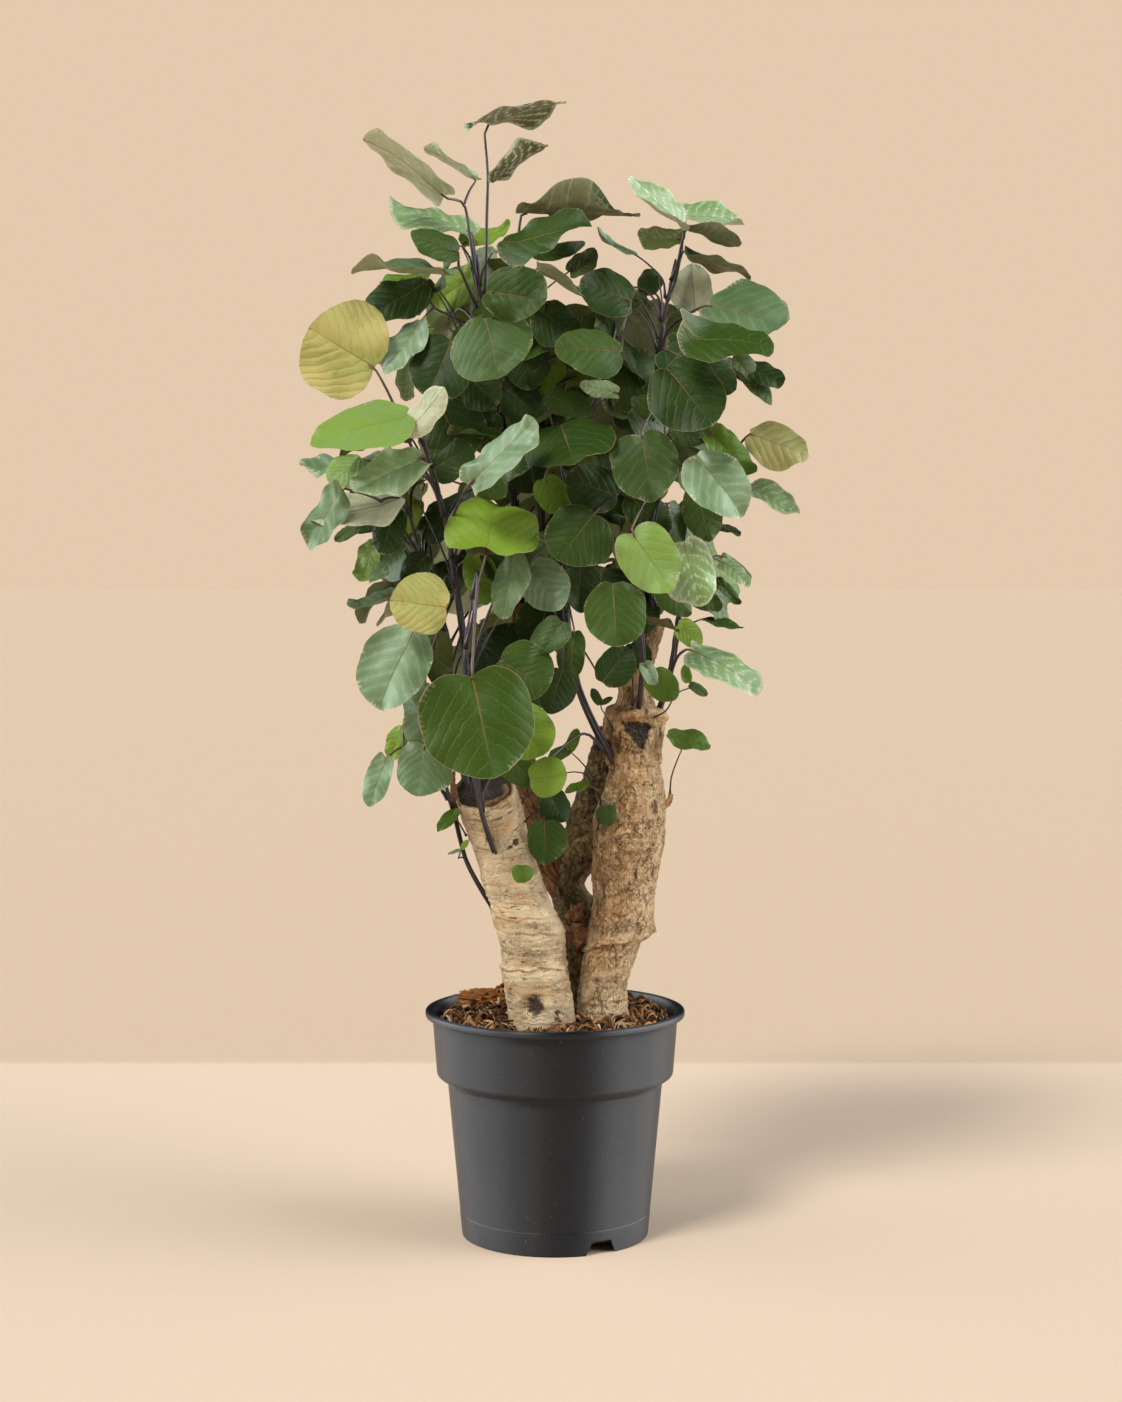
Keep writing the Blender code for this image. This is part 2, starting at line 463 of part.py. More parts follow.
def soil_height(radius, angle):
    """The top of the soil: mounded to the middle, a little uneven, with one heap."""
    share = radius / COLLAR_TOP_RADIUS
    place = Vector((radius * math.cos(angle), radius * math.sin(angle), 0.0))
    heap = Vector((*SOIL_HEAP[:2], 0.0))
    heaped = SOIL_HEAP[2] * math.exp(-((place - heap).length / SOIL_HEAP_REACH) ** 2)
    uneven = SOIL_UNEVEN * noise.noise(place * SOIL_LUMP_SCALE)
    return SOIL_EDGE_HEIGHT + SOIL_MOUND * (1 - share ** 2) + uneven + heaped


def make_soil(stumps):
    walls = [(radius - SEAT_GAP, height) for radius, height in inner_wall()]
    floor_radius = walls[0][0]
    top_share = (SOIL_EDGE_HEIGHT - walls[-2][1]) / (walls[-1][1] - walls[-2][1])
    edge = walls[-2][0] + (walls[-1][0] - walls[-2][0]) * top_share
    profile = [(0, FLOOR_HEIGHT + SEAT_GAP), (floor_radius, FLOOR_HEIGHT + SEAT_GAP)] + walls[1:-1]
    profile += [(edge * share, SOIL_EDGE_HEIGHT) for share in reversed(SOIL_RINGS)]
    profile += [(0, SOIL_EDGE_HEIGHT)]
    bm = turned(profile)
    for vert in bm.verts:
        if vert.co.z == SOIL_EDGE_HEIGHT:
            radius = math.hypot(vert.co.x, vert.co.y)
            vert.co.z = soil_height(radius, math.atan2(vert.co.y, vert.co.x))
    soil = add_object("soil", bm, "soil")
    for rows, facing in stumps:
        socket = add_object("socket_cutter", stump_mesh(rows, facing, SEAT_GAP))
        combine(soil, socket, "DIFFERENCE")


def stump_mesh(rows, facing, grow=0.0):
    """A stump as a lumpy tube with a sawn top, or the same a little larger all round."""
    scaled = [Vector(row) * CM for row in rows]
    for row in scaled:
        row[3] += grow
    if grow:
        scaled[0].z -= grow
        scaled[-1] += Vector((0, 0, grow, 0))
    return tube(scaled, STUMP_SIDES, upright=True, lump=BARK_LUMP, end_facing=Vector(facing))


def make_stem(name, foot_radius, tip_radius, points, stumps):
    """A stem, cut off where it meets the stump that it grows from."""
    rows = [Vector((*point, 0.0)) * CM for point in points]
    for index, row in enumerate(rows):
        share = index / (len(rows) - 1)
        row[3] = (foot_radius + (tip_radius - foot_radius) * share) / 1000
    curve = smooth_curve(rows, 3)
    stem = add_object(name, tube(curve, STEM_SIDES), "stem")
    for rows, facing in stumps:
        combine(stem, add_object("stump_cutter", stump_mesh(rows, facing, SEAT_GAP)), "DIFFERENCE")
    smooth_shade(stem)
    return curve


def blade_mesh(base, tip, upper, width_share):
    """A thin lens with a round outline, a notch at its stalk, and sides that bend down a little."""
    length = (tip - base).length
    along = (tip - base) / length
    up = (upper - along * upper.dot(along)).normalized()
    side = along.cross(up)
    bm = bmesh.new()
    rim = []
    for step in range(BLADE_POINTS):
        angle = 2 * math.pi * step / BLADE_POINTS
        at_stalk = step == BLADE_POINTS // 2
        forward = 0.0 if at_stalk else BLADE_CENTRE + BLADE_REACH * math.cos(angle)
        sideways = 0.5 * width_share * math.sin(angle)
        sink = BLADE_CUP * (abs(sideways) + (forward - BLADE_CENTRE) ** 2)
        place = base + (along * forward + side * sideways - up * sink) * length
        rim.append(bm.verts.new(place))
    middle = base + along * BLADE_CENTRE * length
    top = bm.verts.new(middle + up * BLADE_THICKNESS / 2)
    bottom = bm.verts.new(middle - up * BLADE_THICKNESS / 2)
    for step in range(BLADE_POINTS):
        turn = (step + 1) % BLADE_POINTS
        bm.faces.new((rim[step], rim[turn], top))
        bm.faces.new((rim[turn], rim[step], bottom))
    return bm


def make_leaf(name, stem_rows, share, colour, blades):
    place = share * (len(stem_rows) - 1)
    low = min(int(place), len(stem_rows) - 2)
    root = stem_rows[low].lerp(stem_rows[low + 1], place - low)
    along_stem = (stem_rows[low + 1] - stem_rows[low]).to_3d().normalized()
    laid = []
    for x, z, tip_x, tip_z, back, further, upper, width in blades:
        laid.append((on_view(x, z, back), on_view(tip_x, tip_z, back + further), Vector(upper), width))
    middle = sum((base for base, _, _, _ in laid), Vector()) / len(laid)
    out = middle - root.to_3d()
    out = (out - along_stem * out.dot(along_stem)).normalized()
    start = root.to_3d() + out * (root[3] + SEAT_GAP)
    clear = start + out * STALK_CLEAR
    fork = clear.lerp(middle, FORK_SHARE) + Vector((0, 0, FORK_RISE * (middle - clear).length))
    pieces = []
    for index, (base, tip, upper, width) in enumerate(laid):
        end = base + (tip - base) * MIDRIB_REACH
        if len(laid) == 1:
            bend = clear.lerp(base, 0.5) + Vector((0, 0, STALK_BOW * (base - clear).length))
            rows = [clear, bend, base]
        else:
            bend = clear.lerp(fork, 0.5) + Vector((0, 0, FORK_RISE * (fork - clear).length))
            rows = [clear, bend, fork, base] if index == 0 else [fork, fork.lerp(base, 0.5), base]
        radius = STALK_RADIUS if index == 0 else BRANCH_RADIUS
        rows = smooth_curve([Vector((*row, radius)) for row in rows], 2)
        if index == 0:
            rows.insert(0, Vector((*start, radius)))
        heel = base - (tip - base).normalized() * radius
        rib = [Vector((*heel, radius * RIB_TAPER[0])), Vector((*end, radius * RIB_TAPER[1]))]
        pieces.append(tube(rows, STALK_SIDES))
        pieces.append(tube(rib, RIB_SIDES))
        pieces.append(blade_mesh(base, tip, upper, width))
    leaf = add_object(name, pieces[0], colour)
    for piece in pieces[1:]:
        combine(leaf, add_object("leaf_piece", piece), "UNION")
    smooth_shade(leaf)


def main():
    clear_scene()
    left = (LEFT_STUMP, CUT_FACES["left"])
    right = (RIGHT_STUMP, CUT_FACES["right"])
    rear = (REAR_STUMP, CUT_FACES["rear"])
    fork = (REAR_FORK, CUT_FACES["fork"])
    stumps = (left, right, rear, fork)
    make_pot()
    make_soil(stumps)
    smooth_shade(add_object("stump_left", stump_mesh(*left), "bark"))
    smooth_shade(add_object("stump_right", stump_mesh(*right), "bark"))
    stump_rear = add_object("stump_rear", stump_mesh(*rear), "rear bark")
    combine(stump_rear, add_object("fork", stump_mesh(*fork)), "UNION")
    smooth_shade(stump_rear)
    curves = {}
    for name, (foot_radius, tip_radius, points) in STEMS.items():
        curves[name] = make_stem(name, foot_radius, tip_radius, points, stumps)
    for name, (stem, share, colour, blades) in LEAVES.items():
        make_leaf(name, curves[stem], share, colour, blades)


main()
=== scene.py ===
# A potted aralia: a nursery pot, its soil, three sawn stumps, dark shoots and round leaves.
import bpy
import bmesh
import math
import random
from mathutils import Matrix, Vector, noise


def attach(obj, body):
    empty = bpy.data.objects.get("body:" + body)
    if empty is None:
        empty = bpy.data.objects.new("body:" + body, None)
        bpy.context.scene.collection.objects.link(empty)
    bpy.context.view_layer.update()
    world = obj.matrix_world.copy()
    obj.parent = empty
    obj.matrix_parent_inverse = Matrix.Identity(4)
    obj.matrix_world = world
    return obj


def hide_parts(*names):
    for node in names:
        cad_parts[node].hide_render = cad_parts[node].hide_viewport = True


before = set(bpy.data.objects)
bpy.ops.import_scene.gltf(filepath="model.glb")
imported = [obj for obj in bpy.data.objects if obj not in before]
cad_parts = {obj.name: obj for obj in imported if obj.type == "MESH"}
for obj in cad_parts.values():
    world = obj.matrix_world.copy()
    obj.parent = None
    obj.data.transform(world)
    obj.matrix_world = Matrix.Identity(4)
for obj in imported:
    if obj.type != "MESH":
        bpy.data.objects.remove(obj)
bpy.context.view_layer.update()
cm = 0.01
noise.seed_set(1)  # so that the bark and the soil come out the same each time
viewer = {"distance": 2.2, "height": 0.62, "aside": 0.0055}  # the eye that the leaf plan is laid out from


# A small kit for materials.
class Value:  # a socket that takes part in plain arithmetic
    def __init__(self, nodes, socket):
        self.nodes = nodes
        self.socket = socket

    def maths(self, operation, *numbers):
        return self.nodes.node("Math", {"operation": operation}, dict(enumerate(numbers)))

    def __add__(self, other):
        return self.maths("ADD", self, other)

    def __sub__(self, other):
        return self.maths("SUBTRACT", self, other)

    def __rsub__(self, other):
        return self.maths("SUBTRACT", other, self)

    def __mul__(self, other):
        return self.maths("MULTIPLY", self, other)

    def __abs__(self):
        return self.maths("ABSOLUTE", self)

    __radd__ = __add__
    __rmul__ = __mul__

    def fract(self):
        return self.maths("FRACT", self)

    def ramp(self, low, high, first=0.0, last=1.0):  # first up to low, last from high on, smooth between
        inputs = {"Value": self, "From Min": low, "From Max": high, "To Min": first, "To Max": last}
        return self.nodes.node("MapRange", {"interpolation_type": "SMOOTHSTEP"}, inputs)


class Nodes:  # the nodes of one material, or of the world
    def __init__(self, tree):
        self.tree = tree

    def feed(self, socket, value):
        if isinstance(value, Value):
            self.tree.links.new(value.socket, socket)
        else:
            socket.default_value = value

    def node(self, kind, settings=None, inputs=None, out=0):
        made = self.tree.nodes.new("ShaderNode" + kind)
        for key, value in (settings or {}).items():
            setattr(made, key, value)
        for key, value in (inputs or {}).items():
            self.feed(made.inputs[key], value)
        return Value(self, made.outputs[out])

    def split(self, kind, value):  # the three parts of a vector or of a colour
        return [Value(self, part) for part in self.node(kind, inputs={0: value}).socket.node.outputs[:3]]


class Finish(Nodes):  # one Principled material, and the colours that it is painted with
    def __init__(self, name, paints, roughness, **fixed):
        self.material = bpy.data.materials.new(name)
        self.material.use_nodes = True
        super().__init__(self.material.node_tree)
        self.paints = paints
        self.shader = self.tree.nodes["Principled BSDF"]
        self.shader.inputs["Roughness"].default_value = roughness
        for socket, value in fixed.items():
            self.shader.inputs[socket.replace("_", " ")].default_value = value

    def blend(self, amount, first, second, mode="MIX"):  # each colour is a link or the name of a paint
        first, second = [(*self.paints[one], 1.0) if isinstance(one, str) else one for one in (first, second)]
        settings = {"data_type": "RGBA", "blend_type": mode}
        return self.node("Mix", settings, {0: amount, 6: first, 7: second}, 2)

    def coats(self, body, *over):  # lays colours over one another, each as far as its mask says
        for amount, colour in over:
            body = self.blend(amount, body, colour)
        return body

    def place(self):
        return self.node("TexCoord", out="Object")

    def stretched(self, vector, scale):
        return self.node("Mapping", inputs={"Vector": vector, "Scale": scale})

    def noise(self, vector, scale, detail=4.0, rough=0.55, warp=0.0):
        inputs = {"Vector": vector, "Scale": scale, "Detail": detail, "Roughness": rough, "Distortion": warp}
        return self.node("TexNoise", inputs=inputs)

    def cells(self, vector, scale, feature="F1", out=0):
        return self.node("TexVoronoi", {"feature": feature}, {"Vector": vector, "Scale": scale}, out)

    def painted(self, name, out="Color"):  # a value that the mesh carries at each of its points
        return self.node("Attribute", {"attribute_name": name}, out=out)

    def colour(self, value):
        self.feed(self.shader.inputs["Base Color"], value)

    def rough(self, value):
        self.feed(self.shader.inputs["Roughness"], value)

    def bump(self, height, distance, strength=1.0):
        inputs = {"Strength": strength, "Distance": distance, "Height": height}
        self.feed(self.shader.inputs["Normal"], self.node("Bump", inputs=inputs))


# A small kit for shapes.
def makeObject(name, bm):
    mesh = bpy.data.meshes.new(name)
    bm.to_mesh(mesh)
    bm.free()
    made = bpy.data.objects.new(name, mesh)
    bpy.context.scene.collection.objects.link(made)
    return made


def addPiece(name, bm, finishes, stands=()):
    piece = makeObject(name, bm)
    piece.data.shade_smooth()
    for finish in finishes:
        piece.data.materials.append(finish.material)
    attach(piece, "root")
    if stands:
        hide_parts(*stands)
    return piece


def onView(x, z, back):  # this many centimetres behind the front elevation, where the eye sees (x, z)
    share = 1 + back * cm / viewer["distance"]
    return Vector((x * cm * share, back * cm, viewer["height"] + (z * cm - viewer["height"]) * share))


def inMetres(points):
    return [Vector(point) * cm for point in points]


def smoothPath(points, spans):  # evenly spaced points on a curve through the given ones
    knots = [0.0]
    for before, after in zip(points, points[1:]):
        knots.append(knots[-1] + max((after - before).length, 1e-6))
    last = len(points) - 1
    slopes = []
    for index in range(len(points)):
        low, high = max(index - 1, 0), min(index + 1, last)
        slopes.append((points[high] - points[low]) / (knots[high] - knots[low]))
    path = []
    index = 0
    for step in range(spans + 1):
        at = knots[-1] * step / spans
        while index < last - 1 and at > knots[index + 1]:
            index += 1
        gap = knots[index + 1] - knots[index]
        t = (at - knots[index]) / gap
        path.append(points[index] * (2 * t ** 3 - 3 * t ** 2 + 1)
                    + slopes[index] * gap * (t ** 3 - 2 * t ** 2 + t)
                    + points[index + 1] * (3 * t ** 2 - 2 * t ** 3)
                    + slopes[index + 1] * gap * (t ** 3 - t ** 2))
    return path


def unitTube(sides, spans):  # upright, closed at both ends, of radius 1 and height 1
    bm = bmesh.new()
    bmesh.ops.create_cone(bm, cap_ends=True, segments=sides, radius1=1, radius2=1, depth=1,
                          matrix=Matrix.Translation((0, 0, 0.5)))
    upright = [edge for edge in bm.edges if abs(edge.verts[0].co.z - edge.verts[1].co.z) > 0.5]
    bmesh.ops.subdivide_edges(bm, edges=upright, cuts=spans - 1)
    return bm


def layAlong(bm, path, reach):  # lays a unit tube along the path; reach(share, angle) is its radius
    spans = len(path) - 1
    tangents = [(path[min(i + 1, spans)] - path[max(i - 1, 0)]).normalized() for i in range(spans + 1)]
    side = tangents[0].orthogonal().normalized()
    frames = []
    for index, along in enumerate(tangents):
        side = side.copy()
        side.rotate(tangents[max(index - 1, 0)].rotation_difference(along))
        frames.append((path[index], side, along.cross(side)))
    for vert in bm.verts:
        share = vert.co.z
        centre, side, across = frames[round(share * spans)]
        angle = math.atan2(vert.co.y, vert.co.x)
        vert.co = centre + (side * math.cos(angle) + across * math.sin(angle)) * reach(share, angle)


def paint(bm, name, colour):
    layer = bm.verts.layers.float_color.new(name)
    for vert in bm.verts:
        vert[layer] = (*colour, 1)


def joinInto(bm, part):  # moves one bmesh into another
    mesh = bpy.data.meshes.new("join")
    part.to_mesh(mesh)
    part.free()
    bm.from_mesh(mesh)
    bpy.data.meshes.remove(mesh)


def smoothStep(value, low, high):
    t = max(0.0, min(1.0, (value - low) / (high - low)))
    return t * t * (3 - 2 * t)


print("kit ready")

# The leaves: their colours, then how a blade and its stalk are shaped.
leafFinish = {
    # The silver colours, upper and under, are painted sheen: a pale silvery reflection laid into the leaf's
    # colour.
    "deepGreen": (0.015, 0.038, 0.004), "freshGreen": (0.160, 0.305, 0.014), "patchGreen": (0.07, 0.13, 0.01),
    "silver": (0.290, 0.430, 0.280), "streak": (0.660, 0.680, 0.500), "vein": (0.180, 0.290, 0.070),
    "rib": (0.260, 0.130, 0.045), "edge": (0.380, 0.340, 0.130), "gold": (0.520, 0.465, 0.165),
    "paleGold": (0.400, 0.440, 0.130), "goldBrown": (0.360, 0.240, 0.060), "underOlive": (0.085, 0.08, 0.022),
    "underDeep": (0.075, 0.095, 0.030), "underFresh": (0.180, 0.260, 0.060), "underPaleSheen": (0.52, 0.56, 0.38),
    "underGold": (0.480, 0.430, 0.160), "underVein": (0.50, 0.50, 0.32), "underRib": (0.220, 0.120, 0.060),
    "underEdge": (0.54, 0.53, 0.33), "sideVeins": 6.0, "veinLean": 0.62, "veinCurl": 0.85, "netCells": 19.0,
}
stalkFinish = {
    "darkPurple": (0.014, 0.009, 0.011), "darkRed": (0.040, 0.022, 0.022), "youngRed": (0.130, 0.045, 0.030),
    "youngGreen": (0.175, 0.130, 0.045),
}


def leafPattern(finish):  # where the veins, the quilted fields and the edge lie on a blade
    uv = finish.node("UVMap", {"uv_map": "leafMap"})
    along, beside, _ = finish.split("SeparateXYZ", uv)
    aside = abs(beside - 0.5)
    wander = finish.noise(uv, 5.0, 2.0) - 0.5
    lean = along - aside * leafFinish["veinLean"] - aside * aside * leafFinish["veinCurl"] + wander * 0.15
    field = abs((lean * leafFinish["sideVeins"]).fract() * 2 - 1)  # 1 on a side vein, 0 midway between two
    vein = field.ramp(0.92, 0.998) * aside.ramp(0.0, 0.05)
    rib = 1 - aside.ramp(0.003, 0.012)
    net = 1 - finish.cells(uv, leafFinish["netCells"], "DISTANCE_TO_EDGE").ramp(0.0, 0.07)
    tone = finish.painted("leafTone")
    fresh, gold, silver = finish.split("SeparateColor", tone)
    rho = Value(finish, tone.socket.node.outputs["Alpha"])  # 0 in the middle of the blade, 1 at its edge
    return {"along": along, "field": field, "vein": vein, "rib": rib, "net": net, "uv": uv,
            "puff": 1 - field * field, "fresh": fresh, "gold": gold, "silver": silver,
            "edge": rho.ramp(0.982, 0.996), "rho": rho, "streak": finish.painted("leafStreak", "Fac")}


def streaked(finish, at):  # pale bands that follow the side veins and the margin of a leaf
    ragged = finish.noise(finish.stretched(at["uv"], (3.0, 9.0, 1.0)), 3.0, 4.0, 0.6)
    bands = (at["field"] * 0.8 + (ragged - 0.5) * 2.6).ramp(0.48, 0.90)
    margin = (at["rho"] + (ragged - 0.5) * 0.25).ramp(0.88, 0.97)
    pale = 1 - (1 - bands) * (1 - margin)
    return pale * (0.55 + 0.45 * ragged.ramp(0.35, 0.6)) * at["streak"]


def leafTop():
    finish = Finish("leafTop", leafFinish, 0.40, Specular_IOR_Level=0.20, Coat_Roughness=0.28)
    at = leafPattern(finish)
    patches = finish.noise(finish.place(), 24.0, 3.0)
    mottle = finish.noise(finish.place(), 75.0, 3.0)
    # painted sheen: a pale silvery reflection laid into the colour where the leaf's silver share is high
    paintedSheen = at["silver"] * (0.45 + 0.55 * patches.ramp(0.35, 0.65)) * (0.7 + 0.3 * at["field"].ramp(0.4, 1.0))
    brown = mottle.ramp(0.50, 0.66) * (1 - at["field"]).ramp(0.2, 0.9) * patches.ramp(0.35, 0.6)
    green = finish.coats("deepGreen", (at["fresh"], "freshGreen"),
                         (patches.ramp(0.45, 0.75) * 0.20, "patchGreen"), (paintedSheen, "silver"))
    gold = finish.coats("gold", (patches.ramp(0.40, 0.62) * 0.7, "paleGold"), (brown * 0.60, "goldBrown"))
    finish.colour(finish.coats(
        green, (at["gold"], gold), (streaked(finish, at) * 0.72, "streak"),
        (at["vein"] * 0.24 + at["net"] * 0.06, "vein"),
        (at["rib"] * (1 - at["along"]).ramp(-0.1, 1.1) * 0.8, "rib"), (at["edge"] * 0.45, "edge")))
    finish.rough(0.36 + 0.14 * mottle + 0.12 * at["gold"])
    finish.feed(finish.shader.inputs["Coat Weight"], at["silver"] * 0.35)
    height = at["puff"] * (0.35 + 0.5 * at["gold"]) - at["vein"] * 0.30 - at["net"] * 0.12 - at["rib"] * 0.5
    finish.bump(height, 0.0009, 0.75)
    return finish


def leafUnder():
    finish = Finish("leafUnder", leafFinish, 0.46, Specular_IOR_Level=0.30)
    at = leafPattern(finish)
    patches = finish.noise(finish.place(), 30.0, 3.0)
    finish.colour(finish.coats(
        "underOlive", (patches.ramp(0.4, 0.6), "underDeep"), (at["fresh"], "underFresh"),
        # the paler underside, with a painted silvery sheen where the silver share is high
        (at["silver"] * (0.55 + 0.35 * patches.ramp(0.36, 0.56)), "underPaleSheen"),
        (streaked(finish, at) * 0.9, "streak"), (at["gold"], "underGold"),
        (at["vein"] * 0.35 + at["net"] * 0.12, "underVein"), (at["rib"] * 0.8, "underRib"),
        (at["edge"] * 0.60, "underEdge")))
    finish.rough(0.40 + 0.14 * patches)
    finish.bump(at["vein"] * 0.5 + at["net"] * 0.2 + at["rib"] * 0.7 - at["puff"] * 0.4, 0.0008, 0.7)
    return finish


def stalkSkin():
    finish = Finish("stalk", stalkFinish, 0.42)
    streaks = finish.noise(finish.stretched(finish.place(), (1, 1, 0.25)), 260.0, 3.0)
    patches = finish.noise(finish.place(), 26.0, 3.0)
    tone = finish.split("SeparateXYZ", finish.painted("stalkTone"))[0]
    dark = finish.blend(patches.ramp(0.4, 0.7), "darkPurple", "darkRed")
    young = finish.blend(streaks.ramp(0.3, 0.7), "youngRed", "youngGreen")
    finish.colour(finish.blend(tone, dark, young))
    finish.rough(0.34 + 0.22 * streaks)
    finish.bump(streaks, 0.0004, 0.6)
    return finish


leafSkins = [leafTop(), leafUnder(), stalkSkin()]  # the upper side, the under side and the stalk
print("leaf finishes ready")

# How a blade looks: how fresh, how golden, how much painted silvery sheen and how streaked it is.
# The light and frost looks are painted light: blades made brighter as if the lamps fell full on them.
looks = {
    "deep": (0.0, 0.0, 0.0, 0.0), "mid": (0.11, 0.0, 0.02, 0.0), "fresh": (0.50, 0.0, 0.02, 0.0),
    "young": (1.00, 0.12, 0.0, 0.0), "slate": (0.12, 0.0, 0.12, 0.0), "blue": (0.18, 0.0, 0.45, 0.0),
    "silver": (0.30, 0.0, 0.95, 0.10), "pale": (0.70, 0.08, 0.75, 0.22), "light": (0.95, 0.08, 0.35, 0.0),
    "frost": (0.85, 0.0, 1.0, 0.85), "cream": (0.60, 0.0, 1.0, 0.8), "gold": (0.5, 1.0, 0.0, 0.0),
    "amber": (0.2, 0.86, 0.0, 0.0), "ochre": (0.0, 0.12, 0.0, 0.0), "lime": (1.0, 0.85, 1.0, 0.35),
    "leafy": (0.36, 0.0, 0.05, 0.0), "olive": (0.0, 0.0, 0.15, 0.12), "etched": (0.0, 0.0, 0.10, 1.0),
}
bladeShape = {
    "sides": 64, "rings": 16, "centre": 0.46, "reach": 0.54, "thickness": 0.0006, "scallops": 23,
    "scallopDepth": 0.014, "notchSpan": 0.42, "tipPoint": 0.030, "wave": 0.038, "puff": 0.0050,
    "bulge": 0.022, "lobes": 0.016, "skew": 0.05, "lopsided": 0.10, "curl": (0.08, 0.12), "crumple": 0.030,
}


def addBlade(bm, base, tip, upper, width, look, fold, arch, fine, seed):
    length = (tip - base).length
    forward = (tip - base) / length
    up = (upper - forward * upper.dot(forward)).normalized()
    side = up.cross(forward)
    chance = random.Random(seed)
    phase = [chance.uniform(0, 2 * math.pi) for _ in range(4)]
    shape = bladeShape
    skew = chance.uniform(-shape["skew"], shape["skew"])
    sides = max(int(shape["sides"] * fine) // 2 * 2, 14)
    rings = max(int(shape["rings"] * fine) // 2 * 2, 4)
    blade = bmesh.new()
    mapping = blade.loops.layers.uv.new("leafMap")
    tone = blade.verts.layers.float_color.new("leafTone")
    bmesh.ops.create_uvsphere(blade, u_segments=sides, v_segments=rings, radius=1)
    for face in blade.faces:
        face.material_index = 0 if face.calc_center_median().z > 0 else 1
    ruffle = shape["wave"] * chance.uniform(0.5, 1.8)
    quilt = shape["puff"] * chance.uniform(0.3, 1.3) * (1 + 2 * look[1])
    curl, curled = max(chance.gauss(*shape["curl"]), 0.0), chance.uniform(0, 2 * math.pi)
    fresh = max(look[0] + chance.uniform(-0.03, 0.05), 0.0)
    silver = max(look[2] + chance.uniform(-0.04, 0.03), 0.0)
    streaks = blade.verts.layers.float.new("leafStreak")
    lopsided = chance.uniform(-shape["lopsided"], shape["lopsided"])
    drift = Vector((chance.uniform(0, 40), chance.uniform(0, 40), 0))
    flat = {}
    for vert in blade.verts:
        latitude = math.asin(max(-1.0, min(1.0, vert.co.z)))
        rho = 1 - abs(latitude) / (math.pi / 2)
        angle = math.atan2(vert.co.y, vert.co.x)  # 0 at the tip, half a turn at the stalk
        away = abs(abs(angle) - math.pi)
        rim = 1 - shape["scallopDepth"] * abs(math.sin(angle * shape["scallops"] / 2 + phase[0])) * rho ** 4
        bulge, lobes = shape["bulge"], shape["lobes"]
        rim += bulge * math.sin(2 * angle + phase[1]) + bulge * math.sin(3 * angle + phase[2])
        rim += lobes * math.sin(5 * angle + phase[3]) * rho ** 2
        point = shape["tipPoint"] * max(1.6 - width, 0.1)
        a = shape["reach"] * math.cos(angle) * rim + point * max(math.cos(angle), 0) ** 14
        b = 0.5 * width * math.sin(angle) * (1 - 0.05 * math.cos(angle)) * rim
        b *= 1 + 0.06 * abs(math.sin(2 * angle))
        b *= 1 + lopsided * (1 if b > 0 else -1)
        if away < shape["notchSpan"]:  # the notch where the stalk comes in
            a += (shape["reach"] - shape["centre"] + 0.01) * (1 - away / shape["notchSpan"]) ** 1.4
        b += skew * (a + 0.5) * 0.3
        a, b = shape["centre"] + a * rho, b * rho
        lift = fold * abs(b) * 2 - (fold + 0.10) * 1.6 * b * b * 2
        lift -= arch * (a - 0.3) ** 2
        lift += ruffle * rho ** 3 * (math.sin(3 * angle + phase[3]) + 0.6 * math.sin(5 * angle + phase[1]))
        lift += ruffle * 0.35 * rho ** 5 * math.sin(9 * angle + phase[0])
        lift += curl * max((rho - 0.5) * 2, 0) ** 2 * max(math.cos(angle - curled), 0) ** 2
        lift += shape["crumple"] * noise.noise(Vector((a * 2.3, b * 2.3, 0)) + drift)
        lean = a - leafFinish["veinLean"] * abs(b) - leafFinish["veinCurl"] * b * b
        field = abs((lean * leafFinish["sideVeins"]) % 1.0 * 2 - 1)
        lift += quilt * (1 - field * field) * min(abs(b) * 8, 1) * (1 - rho ** 6)
        skin = math.copysign(shape["thickness"] / 2, vert.co.z) * (1 - rho ** 6) if rho < 0.999 else 0.0
        flat[vert] = (a, b + 0.5)
        vert[tone] = (fresh, look[1], silver, rho)
        vert[streaks] = look[3]
        vert.co = base + (forward * a + side * b + up * lift) * length + up * skin
    for edge in blade.edges:  # the rim stays crisp between the two sides
        edge.smooth = not all(vert[tone][3] > 0.999 for vert in edge.verts)
    for face in blade.faces:
        for loop in face.loops:
            loop[mapping].uv = flat[loop.vert]
    joinInto(bm, blade)


def addStalk(bm, path, thick, thin, red, heel, sides=6):
    stalk = unitTube(sides, len(path) - 1)
    tone = stalk.verts.layers.float_color.new("stalkTone")
    for vert in stalk.verts:
        vert[tone] = (red * max(0.0, (vert.co.z - 0.45) / 0.55) ** 1.5, 0, 0, 1)
    layAlong(stalk, path, lambda share, angle: (thick + (thin - thick) * share)
             * (1 + heel * max(0.0, 1 - share * 9)))
    for face in stalk.faces:
        face.material_index = 2
    joinInto(bm, stalk)


